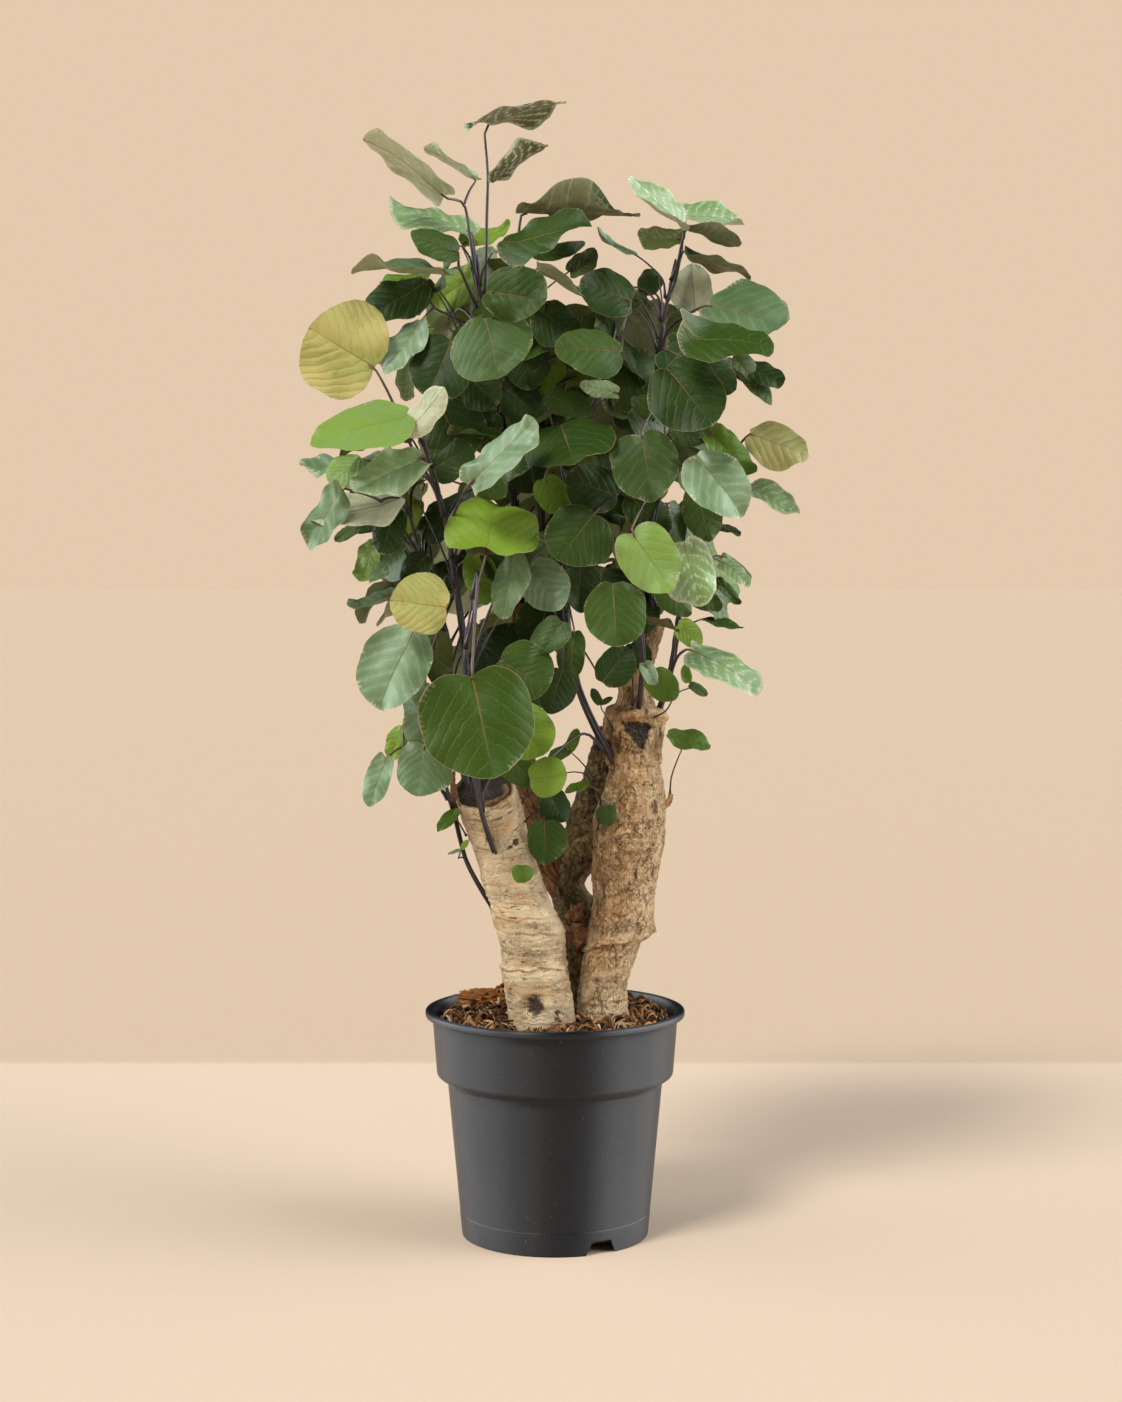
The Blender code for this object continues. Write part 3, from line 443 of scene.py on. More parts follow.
# The shoots: foot radius and tip radius in millimetres, and the centre line in centimetres.
shoots = {
    "stem_left_main": (3.6, 2.2, ((-6.9, -3.7, 40.8), (-7.8, -4.0, 48.0), (-8.2, -4.5, 55.0),
        (-9.2, -5.0, 62.0), (-10.5, -5.2, 69.0), (-11.8, -5.5, 73.5))),
    "stem_left_outer": (3.2, 2.0, ((-7.6, -2.9, 40.2), (-9.4, -2.2, 48.0), (-9.8, -2.0, 55.0),
        (-11.4, -2.4, 60.5), (-12.9, -3.0, 65.5), (-13.6, -3.4, 68.5))),
    "stem_left_front": (2.6, 1.9, ((-4.9, -5.4, 34.6), (-6.4, -7.9, 39.6), (-7.2, -8.6, 44.0),
        (-7.9, -9.0, 50.0), (-8.0, -9.0, 54.0), (-7.3, -8.8, 59.0))),
    "stem_left_side": (2.4, 1.7, ((-4.6, -4.0, 29.2), (-7.9, -4.6, 35.0), (-9.1, -5.0, 39.5),
        (-10.2, -5.6, 43.5), (-11.6, -6.0, 48.5), (-12.6, -6.0, 53.0))),
    "stem_top_main": (3.4, 2.2, ((-3.1, 3.7, 57.4), (-3.6, 3.0, 66.0), (-5.0, 1.4, 76.0), (-6.6, -0.6, 85.0),
        (-7.1, -1.2, 90.0))),
    "stem_top_second": (3.0, 1.9, ((-2.4, 3.7, 57.4), (-1.2, 2.6, 66.0), (-2.0, 1.4, 76.0),
        (-4.0, 0.2, 83.0), (-5.0, -0.4, 88.0))),
    "stem_mid": (3.6, 2.1, ((6.0, -2.0, 43.0), (3.6, -3.4, 47.4), (1.9, -4.0, 51.8), (1.0, -4.0, 58.5),
        (1.3, -3.6, 66.0), (2.0, -3.5, 72.0), (3.6, -3.6, 77.0), (4.9, -4.0, 81.0))),
    "stem_right_main": (4.0, 2.4, ((9.1, -1.1, 55.6), (8.7, -0.8, 62.5), (8.3, -0.6, 68.0),
        (8.8, -1.0, 74.5), (9.3, -1.5, 80.0), (9.8, -2.0, 84.5), (10.9, -2.2, 89.5))),
    "stem_right_front": (2.8, 1.9, ((7.3, -2.4, 46.6), (7.9, -5.2, 53.0), (7.6, -6.2, 58.5),
        (8.4, -6.6, 64.0), (9.6, -6.2, 70.0), (9.8, -5.6, 76.0))),
    "stem_right_outer": (3.0, 1.9, ((8.8, -1.2, 46.4), (10.6, -1.8, 52.5), (11.2, -2.2, 57.0),
        (12.2, -2.8, 63.0), (13.3, -3.2, 67.7), (14.4, -3.4, 71.4))),
}
shootSpans = 60
rodShape = {
    "sides": 8, "few": 3, "many": 4, "manyFrom": 3.1, "size": 0.50, "spread": 0.60, "turns": 2.2,
    "wander": 0.9, "swell": 0.30, "rough": 0.14,
}
leafStalk = {"thick": 0.00155, "sprigThick": 0.00115, "taper": 0.62, "twin": 0.75, "heel": 0.7}

# Each leaf: its shoot, how far up it, and its blades: (x, z) of the base, (x, z) of the tip, how far back the
# base lies and how much further the tip, the way the upper side looks, width over length, and the look.
leaves = {
    "leaf_top_1": ("stem_top_main", 1.00, (
        (-6.4, 101.7, 0.2, 104.3, 2.0, -5.5, (-2, 0, 9), 1.05, "etched"),
        (-5.7, 96.7, -0.8, 100.1, -1.5, -1.0, (-5, 1, 8), 0.60, "etched"))),
    "leaf_top_2": ("stem_top_main", 0.97, (
        (-10.0, 95.3, -16.7, 101.3, -2.0, -2.0, (4, 2, 6), 0.80, "cream"),
        (-7.2, 96.9, -11.5, 100.0, 3.5, 2.0, (3, 2, 6), 0.60, "cream"))),
    "leaf_top_3": ("stem_top_main", 0.94, (
        (-7.6, 92.2, -14.8, 94.8, 2.0, 2.0, (1, -3.5, 7), 0.75, "frost"),)),
    "leaf_top_4": ("stem_top_main", 0.90, (
        (-9.5, 88.8, -18.3, 89.3, -4.0, -3.0, (0, -3, 9), 0.90, "blue"),
        (-8.8, 90.4, -13.0, 92.0, -3.0, -1.5, (2, -7, 6), 0.85, "mid"))),
    "leaf_top_5": ("stem_top_second", 1.00, (
        (-3.0, 93.9, 7.5, 94.0, -1.0, -3.0, (0, 1, 9), 0.42, "olive"),)),
    "leaf_top_6": ("stem_top_second", 0.97, (
        (-4.3, 90.5, 2.7, 93.6, -5.0, -4.0, (-3, -6, 8), 0.75, "deep"),)),
    "leaf_top_7": ("stem_top_second", 0.90, (
        (-6.1, 86.9, -0.6, 86.0, -10.0, -1.0, (0, -9, 1), 0.92, "deep"),)),
    "leaf_top_8": ("stem_top_main", 0.80, (
        (-6.3, 84.3, -5.0, 78.9, -10.0, -2.0, (-1, -9, 3), 1.25, "slate"),)),
    "leaf_top_9": ("stem_top_main", 0.84, (
        (-11.9, 87.4, -17.2, 84.6, -3.0, -1.0, (-2, -7, 5), 0.85, "deep"),
        (-12.2, 84.0, -15.6, 79.6, -4.5, -2.0, (-5, -7, 2), 0.70, "silver"))),
    "leaf_top_10": ("stem_top_main", 0.70, (
        (-9.4, 82.4, -11.6, 77.4, -6.0, -1.0, (-2, -9, 2), 1.10, "deep"),)),
    "leaf_left_1": ("stem_left_main", 0.99, (
        (-16.5, 80.0, -22.4, 83.5, -6.5, -1.0, (-2, -9, 1), 1.38, "gold"),)),
    "leaf_left_2": ("stem_left_main", 1.00, (
        (-13.3, 75.3, -22.2, 73.8, -10.0, -3.0, (0, -5, 8), 0.74, "light"),
        (-13.4, 74.2, -9.9, 78.0, -10.6, -1.0, (3, 7, -4), 0.60, "cream"))),
    "leaf_left_3": ("stem_left_outer", 1.00, (
        (-17.6, 71.6, -20.6, 69.5, -4.0, -1.0, (-1, -7, 6), 1.20, "light"),
        (-14.0, 71.2, -18.6, 67.6, -1.0, 0.5, (-3, -7, 5), 0.80, "silver"))),
    "leaf_left_4": ("stem_left_main", 0.86, (
        (-12.0, 71.9, -18.3, 68.8, -9.0, -3.0, (-1, -7, 5), 0.60, "pale"),)),
    "leaf_left_5": ("stem_left_outer", 0.90, (
        (-19.5, 69.0, -22.6, 63.5, -7.5, -1.0, (-5, -8, 2), 0.60, "blue"),
        (-14.0, 68.0, -22.0, 65.6, -6.0, -1.5, (1, 6, -7), 0.55, "cream"))),
    "leaf_left_6": ("stem_left_outer", 0.78, (
        (-14.7, 67.0, -15.8, 63.0, -6.0, -1.0, (-2, -9, 1), 0.75, "deep"),
        (-16.6, 64.3, -17.6, 60.4, -5.0, -1.0, (-5, -8, 1), 0.60, "light"))),
    "leaf_left_7": ("stem_left_side", 1.00, (
        (-9.9, 58.0, -15.0, 58.8, -10.5, -1.0, (1, -9, 2), 1.10, "amber"),)),
    "leaf_left_8": ("stem_left_side", 0.92, (
        (-12.8, 55.8, -16.5, 48.8, -8.5, -1.0, (-3, -9, 1), 0.80, "silver"),)),
    "leaf_left_9": ("stem_left_side", 0.75, (
        (-12.0, 45.5, -12.7, 40.7, -8.5, -1.0, (-1, -9, 2), 1.05, "blue"),)),
    "leaf_left_10": ("stem_left_side", 0.62, (
        (-15.4, 44.3, -17.2, 39.8, -6.5, -1.0, (-3, -8, 1), 0.52, "silver"),
        (-14.0, 47.2, -15.3, 43.9, -4.0, 0.0, (-4, -8, 2), 0.60, "young"))),
    "leaf_left_11": ("stem_left_front", 1.00, (
        (-7.6, 51.9, -5.6, 42.7, -13.5, -1.5, (0, -9, 1.5), 1.14, "mid"),)),
    "leaf_left_12": ("stem_left_front", 0.60, (
        (-5.0, 53.2, -0.7, 50.7, -10.5, -1.0, (1, -9, 2), 1.20, "mid"),
        (-4.2, 48.6, -1.0, 44.5, -9.5, -1.0, (2, -9, 1), 1.00, "young"))),
    "leaf_left_13": ("stem_left_front", 0.96, (
        (-6.3, 62.9, -5.4, 68.3, -11.0, 4.5, (0, -6, 6), 1.20, "young"),)),
    "leaf_left_14": ("stem_left_main", 0.80, (
        (-7.8, 69.4, -1.8, 75.0, -12.0, -1.0, (-4, -6, 4), 0.60, "silver"),)),
    "leaf_left_15": ("stem_left_front", 0.88, (
        (-3.6, 63.0, -4.9, 57.2, -9.0, -1.0, (-3, -8, 1), 0.55, "blue"),)),
    "leaf_mid_1": ("stem_mid", 0.84, (
        (0.6, 74.6, 1.8, 71.2, -7.5, -6.0, (-3, -5, 7), 1.15, "deep"),)),
    "leaf_mid_2": ("stem_mid", 0.64, (
        (3.6, 66.6, 0.3, 62.5, -10.0, -1.0, (0, -9, 2), 1.15, "deep"),
        (5.8, 68.3, 1.1, 69.8, -7.0, -1.0, (0, -9, 2), 0.90, "deep"))),
    "leaf_mid_3": ("stem_mid", 0.34, (
        (0.6, 56.8, -1.3, 53.4, -8.5, -1.0, (-2, -8, 3), 0.90, "slate"),
        (0.7, 52.3, -0.5, 48.4, -7.0, 0.0, (1, -9, 1), 0.85, "deep"))),
    "leaf_mid_4": ("stem_mid", 0.98, (
        (6.0, 81.3, 0.3, 81.9, -9.5, -2.0, (0, -8, 4), 0.80, "mid"),
        (7.0, 86.0, 2.4, 87.7, -6.0, -1.0, (0, -8, 4), 0.95, "deep"))),
    "leaf_mid_5": ("stem_right_front", 0.50, (
        (5.3, 60.2, 5.8, 54.5, -12.5, -1.0, (1, -9, 0), 0.98, "mid"),)),
    "leaf_right_1": ("stem_right_main", 1.00, (
        (11.7, 92.8, 6.9, 96.9, -5.0, -2.0, (4, -7, 5), 0.62, "frost"),
        (11.9, 93.6, 16.9, 93.5, 0.0, 3.0, (0, -7, 6), 0.85, "frost"),
        (12.4, 92.3, 16.8, 91.2, -4.0, -2.5, (2, 1, 8), 0.80, "olive"))),
    "leaf_right_2": ("stem_right_main", 0.95, (
        (12.0, 90.3, 17.9, 88.6, -3.0, -2.0, (2, 1, 8), 0.80, "olive"),
        (11.6, 91.6, 7.7, 91.6, 0.5, 1.0, (-1, -6, 6), 0.75, "ochre"))),
    "leaf_right_3": ("stem_right_main", 0.86, (
        (13.9, 85.6, 21.4, 83.9, -8.0, -2.0, (-1, -7, 5), 0.98, "blue"),)),
    "leaf_right_4": ("stem_right_main", 0.76, (
        (11.8, 82.4, 19.8, 82.6, -13.0, -2.0, (0, -5, 8), 0.75, "mid"),
        (16.6, 80.4, 20.8, 78.6, -4.0, -1.0, (2, -6, 5), 0.80, "deep"))),
    "leaf_right_5": ("stem_right_main", 0.66, (
        (10.2, 80.0, 14.4, 74.8, -12.0, -2.0, (0, -9, 3), 1.00, "deep"),)),
    "leaf_right_6": ("stem_right_front", 0.97, (
        (7.9, 74.0, 9.0, 67.9, -11.0, -1.0, (-1, -9, 2), 0.95, "slate"),)),
    "leaf_right_7": ("stem_right_front", 0.72, (
        (7.0, 65.0, 10.7, 59.8, -13.0, -1.0, (-1, -9, 2), 0.85, "light"),)),
    "leaf_right_8": ("stem_right_outer", 0.62, (
        (11.7, 64.0, 13.6, 58.3, -10.5, -1.0, (0, -8, 4), 0.80, "frost"),
        (15.2, 62.3, 17.9, 60.3, -5.0, -1.0, (2, -6, 5), 0.60, "frost"))),
    "leaf_right_9": ("stem_right_outer", 0.99, (
        (17.8, 73.9, 23.2, 72.0, -4.0, -1.0, (1, -8, 4.5), 0.75, "lime"),)),
    "leaf_right_10": ("stem_right_outer", 0.90, (
        (12.8, 71.8, 17.4, 66.8, -11.0, -1.0, (0, -9, 3), 0.80, "silver"),
        (17.8, 69.0, 22.3, 66.9, -4.5, -1.0, (1, -5, 6), 0.55, "frost"))),
    "leaf_right_11": ("stem_right_outer", 0.35, (
        (12.4, 54.2, 19.0, 51.0, -8.0, -2.0, (0, -6, 8), 0.58, "frost"),)),
    "leaf_low_1": ("stem_mid", 0.06, (
        (-2.2, 42.3, 1.1, 42.6, -10.0, -1.0, (0, -9, 2), 1.10, "young"),)),
    # The leaves at the back take pale and light looks: painted light, as if lit from behind.
    "leaf_back_1": ("stem_left_outer", 0.55, (
        (-12.0, 66.0, -15.5, 60.5, 5.5, 1.0, (-3, 8, 3), 1.00, "pale"),
        (-14.5, 70.0, -19.0, 66.5, 3.5, 1.0, (-5, 7, 3), 0.90, "light"),
        (-9.5, 64.5, -9.0, 57.5, 10.5, 2.5, (0, 9, 3), 1.00, "pale"))),
    "leaf_back_2": ("stem_top_second", 0.60, (
        (-4.0, 78.0, -6.5, 72.0, 9.5, 1.5, (-1, 9, 3), 1.05, "light"),
        (1.0, 80.0, 4.5, 75.5, 8.0, 1.0, (3, 8, 3), 1.00, "young"),
        (-1.5, 84.5, -2.5, 78.5, 12.0, 3.2, (0, 9, 5), 1.05, "mid"))),
    "leaf_back_3": ("stem_right_main", 0.40, (
        (8.5, 67.0, 9.5, 60.5, 11.0, 3.5, (2, 9, 4), 1.05, "light"),
        (12.0, 71.0, 16.5, 68.0, 8.5, 1.0, (5, 7, 4), 0.95, "pale"),
        (5.2, 74.5, 4.2, 68.5, 12.6, 3.0, (0, 9, 4), 1.00, "light"))),
}

# Leaves too small or too deep in the bush for a solid of their own, on the same plan, by shoot.
# Each: how far up the shoot, then the blade as above.
sprigs = {
    "stem_top_main": (
        (0.93, (-8.5, 91.2, -4.2, 92.4, 2.5, 1.0, (-1, -6, 6), 0.60, "young")),
        (0.88, (-6.9, 88.6, -11.4, 85.6, 1.0, 1.0, (-2, -8, 4), 0.75, "young")),
        (0.78, (-11.6, 88.2, -16.0, 88.0, 0.5, 1.0, (0, -6, 7), 0.45, "fresh")),
        (0.72, (-11.4, 87.8, -12.6, 84.8, -2.0, 0.0, (-4, -8, 1), 0.55, "mid")),
        (0.66, (-13.0, 81.0, -13.5, 77.0, -3.0, 0.0, (-6, -7, 1), 0.42, "pale")),
        (0.62, (-8.2, 79.6, -5.4, 76.6, -3.0, -1.0, (-1, -9, 2), 0.95, "deep")),
        (0.52, (-10.6, 76.8, -8.2, 71.6, -3.0, -1.0, (-2, -8, 4), 1.05, "deep")),
        (0.97, (-5.6, 90.4, -2.0, 90.2, -3.5, 0.0, (1, -3, 9), 0.50, "silver"))),
    "stem_top_second": (
        (0.94, (-2.6, 90.6, 2.4, 90.2, 0.5, 0.5, (0, -7, 6), 0.50, "deep")),
        (0.92, (1.2, 88.6, 3.8, 90.3, 1.0, 0.0, (-3, -7, 4), 0.80, "ochre")),
        (0.86, (-1.6, 89.1, 4.5, 85.5, -4.5, -1.0, (2, 2, 8), 0.60, "silver")),
        (0.84, (-1.4, 85.2, 2.0, 82.6, -3.0, -1.0, (1, -8, 4), 1.00, "deep")),
        (0.76, (-3.4, 83.4, -2.0, 78.0, -2.0, 0.0, (1, -9, 2), 0.80, "deep")),
        (0.70, (-5.0, 78.4, -1.2, 75.6, -1.0, 0.0, (0, -9, 3), 0.85, "deep")),
        (0.62, (-1.6, 78.0, 0.8, 80.2, 1.0, 0.0, (-1, -9, 2), 0.70, "young")),
        (0.55, (1.0, 78.6, 8.0, 79.6, 2.5, 1.0, (0, -7, 6), 0.50, "young")),
        (0.48, (-0.8, 75.2, 3.2, 77.9, 0.0, 0.0, (-2, -8, 4), 0.60, "mid")),
        (0.42, (-4.4, 72.0, -0.8, 69.2, 0.0, 0.0, (0, -9, 2), 0.80, "deep")),
        (0.35, (-2.6, 73.0, -9.6, 74.6, -4.0, 0.0, (-1, -3, 9), 0.30, "mid"))),
    "stem_left_main": (
        (0.95, (-13.2, 73.6, -19.8, 72.6, -5.0, -1.0, (0, 1, 9), 0.60, "deep")),
        (0.92, (-15.6, 71.4, -23.0, 70.8, -2.0, 0.0, (-1, -3, 9), 0.45, "silver")),
        (0.84, (-11.4, 70.6, -7.6, 72.8, -4.0, 0.0, (1, -9, 3), 0.90, "deep")),
        (0.74, (-7.0, 69.6, -4.6, 68.4, -6.5, 0.0, (1, -9, 2), 0.90, "mid")),
        (0.66, (-7.4, 62.8, -6.2, 58.4, -6.5, 0.0, (1, -9, 1), 0.65, "fresh")),
        (0.58, (-10.8, 55.8, -10.9, 51.0, -6.5, 0.0, (1, -9, 1), 0.58, "ochre")),
        (0.70, (-12.8, 68.0, -14.8, 64.8, -1.0, 0.0, (-2, -8, 3), 0.85, "young"))),
    "stem_left_outer": (
        (0.86, (-16.0, 65.6, -19.2, 64.6, -1.5, 0.0, (-1, -5, 7), 0.40, "deep")),
        (0.72, (-14.1, 64.1, -16.8, 60.3, -6.0, -0.5, (-2, -8, 3), 0.50, "blue")),
        (0.60, (-11.8, 62.9, -13.8, 60.3, -5.5, 0.0, (-1, -9, 2), 0.80, "deep")),
        (0.52, (-14.6, 59.4, -18.8, 58.0, -3.0, -0.5, (-1, -5, 7), 0.40, "silver")),
        (0.94, (-18.0, 65.6, -20.2, 64.2, -3.0, 0.0, (-2, -8, 3), 0.50, "mid"))),
    "stem_left_side": (
        (0.82, (-12.7, 51.0, -12.2, 45.0, -7.4, -0.5, (3, -8, 1), 0.62, "silver")),
        (0.50, (-10.4, 46.6, -8.4, 43.2, -2.5, 0.0, (1, -9, 1), 0.80, "deep"))),
    "stem_left_front": (
        (0.34, (-4.6, 44.6, -1.8, 41.8, -7.2, 0.0, (1, -9, 1), 0.75, "mid")),
        (0.82, (-3.0, 60.2, -6.8, 62.6, -7.0, 0.0, (0, -8, 4), 0.70, "mid"))),
    "stem_mid": (
        (0.80, (-1.0, 69.9, 0.8, 66.6, -5.5, 0.0, (0, -9, 2), 0.80, "fresh")),
        (0.55, (-2.4, 62.0, 0.6, 58.0, -6.5, -0.5, (-1, -9, 2), 0.90, "silver")),
        (0.48, (2.4, 63.0, 2.2, 57.6, -6.0, 0.0, (1, -9, 1), 0.60, "deep")),
        (0.40, (1.8, 55.8, 1.4, 51.4, -6.0, 0.0, (1, -9, 2), 0.60, "mid")),
        (0.30, (4.4, 51.2, 6.8, 54.4, -5.5, 0.0, (1, -8, 3), 0.85, "deep")),
        (0.90, (5.8, 77.6, 2.4, 78.4, -5.5, 0.0, (0, -8, 4), 0.55, "pale")),
        (0.94, (5.8, 82.8, 2.6, 84.6, -3.0, 0.0, (-1, -7, 5), 0.85, "mid")),
        (0.74, (-0.8, 77.4, 3.4, 76.0, -5.0, 0.0, (0, -8, 5), 0.65, "mid"))),
    "stem_right_main": (
        (0.97, (7.4, 90.1, 3.6, 91.7, 0.0, 0.0, (-1, -3, 8), 0.38, "silver")),
        (0.90, (9.4, 88.4, 7.8, 86.6, 0.5, 0.0, (-1, -9, 1), 0.95, "mid")),
        (0.84, (7.6, 86.2, 3.8, 85.4, -3.0, 0.0, (0, -8, 5), 0.70, "deep")),
        (0.88, (12.8, 85.0, 12.4, 89.4, -1.0, 1.0, (0, 6, 7), 0.85, "silver")),
        (0.72, (14.8, 82.4, 19.2, 81.6, -2.0, 0.0, (1, 2, 8), 0.40, "pale")),
        (0.68, (10.0, 81.9, 16.3, 78.2, -8.5, -1.0, (0, -9, 3), 0.72, "deep")),
        (0.64, (16.2, 81.0, 19.7, 76.8, -4.5, -1.0, (3, -7, 4), 0.62, "mid")),
        (0.56, (7.4, 76.9, 9.4, 75.6, -4.0, 0.0, (0, -9, 2), 0.90, "mid")),
        (0.50, (10.6, 74.2, 13.8, 73.4, -6.0, 0.0, (0, -9, 2), 0.65, "deep"))),
    "stem_right_front": (
        (0.86, (7.0, 68.2, 10.2, 64.8, -6.5, 0.0, (0, -9, 2), 0.80, "deep")),
        (0.60, (9.2, 60.6, 12.4, 57.4, -7.5, 0.0, (1, -9, 2), 0.60, "mid")),
        (0.40, (7.9, 57.2, 11.4, 56.0, -6.0, 0.0, (0, 3, 8), 0.45, "deep")),
        (0.24, (9.0, 52.2, 10.9, 49.6, -6.5, 0.0, (1, -9, 2), 0.90, "fresh")),
        (0.18, (8.2, 53.0, 9.2, 51.0, -7.5, 0.0, (3, -8, 2), 0.75, "silver")),
        (0.12, (7.0, 54.8, 8.4, 52.6, -3.5, 0.0, (1, -8, 3), 0.90, "deep"))),
    "stem_right_outer": (
        (0.94, (14.2, 74.2, 17.8, 70.0, -5.5, -0.5, (1, -8, 4), 0.62, "fresh")),
        (0.82, (13.0, 69.0, 14.2, 64.2, -5.0, 0.0, (1, -9, 2), 0.72, "mid")),
        (0.74, (14.8, 65.6, 17.0, 64.8, -2.5, 0.0, (1, -6, 6), 0.50, "deep")),
        (0.66, (15.2, 62.8, 17.6, 60.4, -3.0, 0.0, (2, -7, 4), 0.50, "pale")),
        (0.58, (14.8, 60.6, 16.9, 58.4, -3.5, 0.0, (2, -8, 3), 0.45, "mid")),
        (0.50, (13.4, 59.6, 15.2, 57.8, -4.5, 0.0, (1, -8, 3), 0.55, "mid")),
        (0.42, (13.6, 57.0, 17.2, 56.2, -3.0, 0.0, (1, -4, 7), 0.35, "mid")),
        (0.28, (11.2, 56.4, 13.5, 54.8, -5.0, 0.0, (1, -9, 3), 0.85, "young"))),
}

shootPaths = {name: smoothPath(inMetres(points), shootSpans) for name, (_, _, points) in shoots.items()}


def stalkStart(shoot, share):
    path = shootPaths[shoot]
    at = share * (len(path) - 1)
    low = min(int(at), len(path) - 2)
    root = path[low].lerp(path[low + 1], at - low)
    foot, tip, _ = shoots[shoot]
    return root, (path[low + 1] - path[low]).normalized(), (foot + (tip - foot) * share) / 1000


def growLeaf(bm, shoot, share, blades, seed, fine, thick):
    laid = []
    for x, z, tipX, tipZ, back, further, upper, width, look in blades:
        base, tip = onView(x, z, back), onView(tipX, tipZ, back + further)
        laid.append((base, tip, Vector(upper), width, looks[look]))
    middle = sum((blade[0] for blade in laid), Vector()) / len(laid)
    shootPath = shootPaths[shoot]
    away = middle - stalkStart(shoot, share)[0]
    if away.z > -0.01:  # a stalk that rises leaves the shoot lower down and runs up beside it
        share = max(share - 0.6 * away.length / (shootPath[-1] - shootPath[0]).length, 0.02)
    root, rise, radius = stalkStart(shoot, share)
    out = middle - root
    out = (out - rise * out.dot(rise)).normalized()
    start = root + out * radius * 0.6
    away = (middle - start).length
    beside = start + out * (radius + 0.08 * away) + rise * 0.30 * away
    reach = (middle - beside).length
    fork = beside.lerp(middle, 0.78) + Vector((0, 0, 0.04 * reach))
    thick *= 0.80 + 0.20 * max((tip - base).length for base, tip, *_ in laid) / 0.05
    for index, (base, tip, upper, width, look) in enumerate(laid):
        forward = (tip - base).normalized()
        if len(laid) == 1:
            points = [start, beside, beside.lerp(base, 0.55) + Vector((0, 0, 0.05 * reach)), base]
        elif index == 0:
            points = [start, beside, beside.lerp(fork, 0.5) + Vector((0, 0, 0.03 * reach)), fork, base]
        else:
            points = [fork, fork.lerp(base, 0.5) + Vector((0, 0, 0.002)), base]
        points.append(base + forward * 0.005)
        spans, heel = (14, leafStalk["heel"]) if index == 0 else (7, 0.0)
        slim = thick if index == 0 else thick * leafStalk["twin"]
        addStalk(bm, smoothPath(points, spans), slim, slim * leafStalk["taper"],
                 0.55 + 0.45 * max(look[1], look[0]), heel)
        chance = random.Random(seed * 7 + index)
        addBlade(bm, base, tip, upper, width, look, fold=chance.uniform(0.02, 0.16),
                 arch=chance.uniform(0.02, 0.20), fine=fine * min(1.0, 0.45 + (tip - base).length / 0.12),
                 seed=seed * 7 + index)


def makeShoot(name):  # a shoot is a bundle of thin dark rods that wind round one another
    foot, tip, _ = shoots[name]
    path = shootPaths[name]
    knots = [share for shoot, share, _ in leaves.values() if shoot == name]
    knots += [share for share, _ in sprigs.get(name, ())]
    rods = rodShape["many"] if foot > rodShape["manyFrom"] else rodShape["few"]
    bundle = bmesh.new()
    for rod in range(rods):
        start = rod * 2 * math.pi / rods
        ends = shootSpans if rod == 0 else int(shootSpans * (0.97 - 0.13 * rod))
        line = []
        for step in range(ends + 1):
            share = step / shootSpans
            forward = (path[min(step + 1, shootSpans)] - path[max(step - 1, 0)]).normalized()
            side = forward.cross(Vector((0, 1, 0))).normalized()
            wander = rodShape["wander"] * noise.noise(Vector((share * 5, rod * 7, foot)))
            angle = start + share * rodShape["turns"] + wander
            around = side * math.cos(angle) + side.cross(forward) * math.sin(angle)
            spread = rodShape["spread"] if rod or share < 0.9 else 6 * (1 - share)
            line.append(path[step] + around * ((foot + (tip - foot) * share) / 1000 * spread))

        def reach(share, angle):
            at = share * ends / shootSpans
            swell = sum(rodShape["swell"] * math.exp(-((at - knot) * 70) ** 2) for knot in knots)
            end = 1.0 if share < 0.985 else 0.55
            rough = rodShape["rough"] * noise.noise(Vector((at * 40, angle, foot + rod)))
            return (foot + (tip - foot) * at) / 1000 * rodShape["size"] * end * (1 + swell + rough)
        rodTube = unitTube(rodShape["sides"], ends)
        paint(rodTube, "stalkTone", (0, 0, 0))
        layAlong(rodTube, line, reach)
        joinInto(bundle, rodTube)
    addPiece("shoot_" + name[5:], bundle, leafSkins[2:], [name])


for name in shoots:
    makeShoot(name)
print("shoots done")

for index, (name, (shoot, share, blades)) in enumerate(leaves.items()):
    bm = bmesh.new()
    growLeaf(bm, shoot, share, blades, index + 11, 1.0, leafStalk["thick"])
    slot = "leaf_gold" if blades[0][8] == "gold" else "leaf_green"
    addPiece("foliage_" + name[5:], bm, leafSkins, [name])
for shoot, items in sprigs.items():
    bm = bmesh.new()
    for index, (share, blade) in enumerate(items):
        growLeaf(bm, shoot, share, [blade], index * 3 + len(shoot) * 17, 0.8, leafStalk["sprigThick"])
    addPiece("sprigs_" + shoot[5:], bm, leafSkins)

# The rest of the crown, by rule: clouds of leaves (x, z, half width, half height, how many) round the shoots.
crown = {
    "clouds": (
        (-8.0, 84.0, 7.0, 5.0, 12), (-2.0, 80.0, 6.5, 6.0, 15), (9.5, 80.0, 7.0, 6.5, 15),
        (-11.0, 70.0, 8.0, 6.0, 12), (-1.0, 70.0, 7.5, 6.0, 15), (9.5, 70.0, 7.0, 6.0, 15),
        (-12.5, 60.0, 5.0, 5.0, 7), (-0.5, 61.0, 6.5, 5.0, 10), (10.5, 61.0, 5.5, 5.0, 10),
        (-7.0, 51.0, 4.0, 4.5, 4)),
    "behind": (3.0, 14.0), "among": (-3.0, 3.0), "backmost": 0.160, "length": (0.045, 0.085),
    "width": (0.72, 1.08), "stalk": (0.0013, 0.0008),
    # the leaves behind take paler looks than those among the shoots: painted light, as if lit from behind
    "behindBacklitLooks": ("mid", "fresh", "light", "young", "pale", "blue", "fresh", "young"),
    "amongLooks": ("deep", "deep", "mid", "mid", "fresh", "slate"),
}


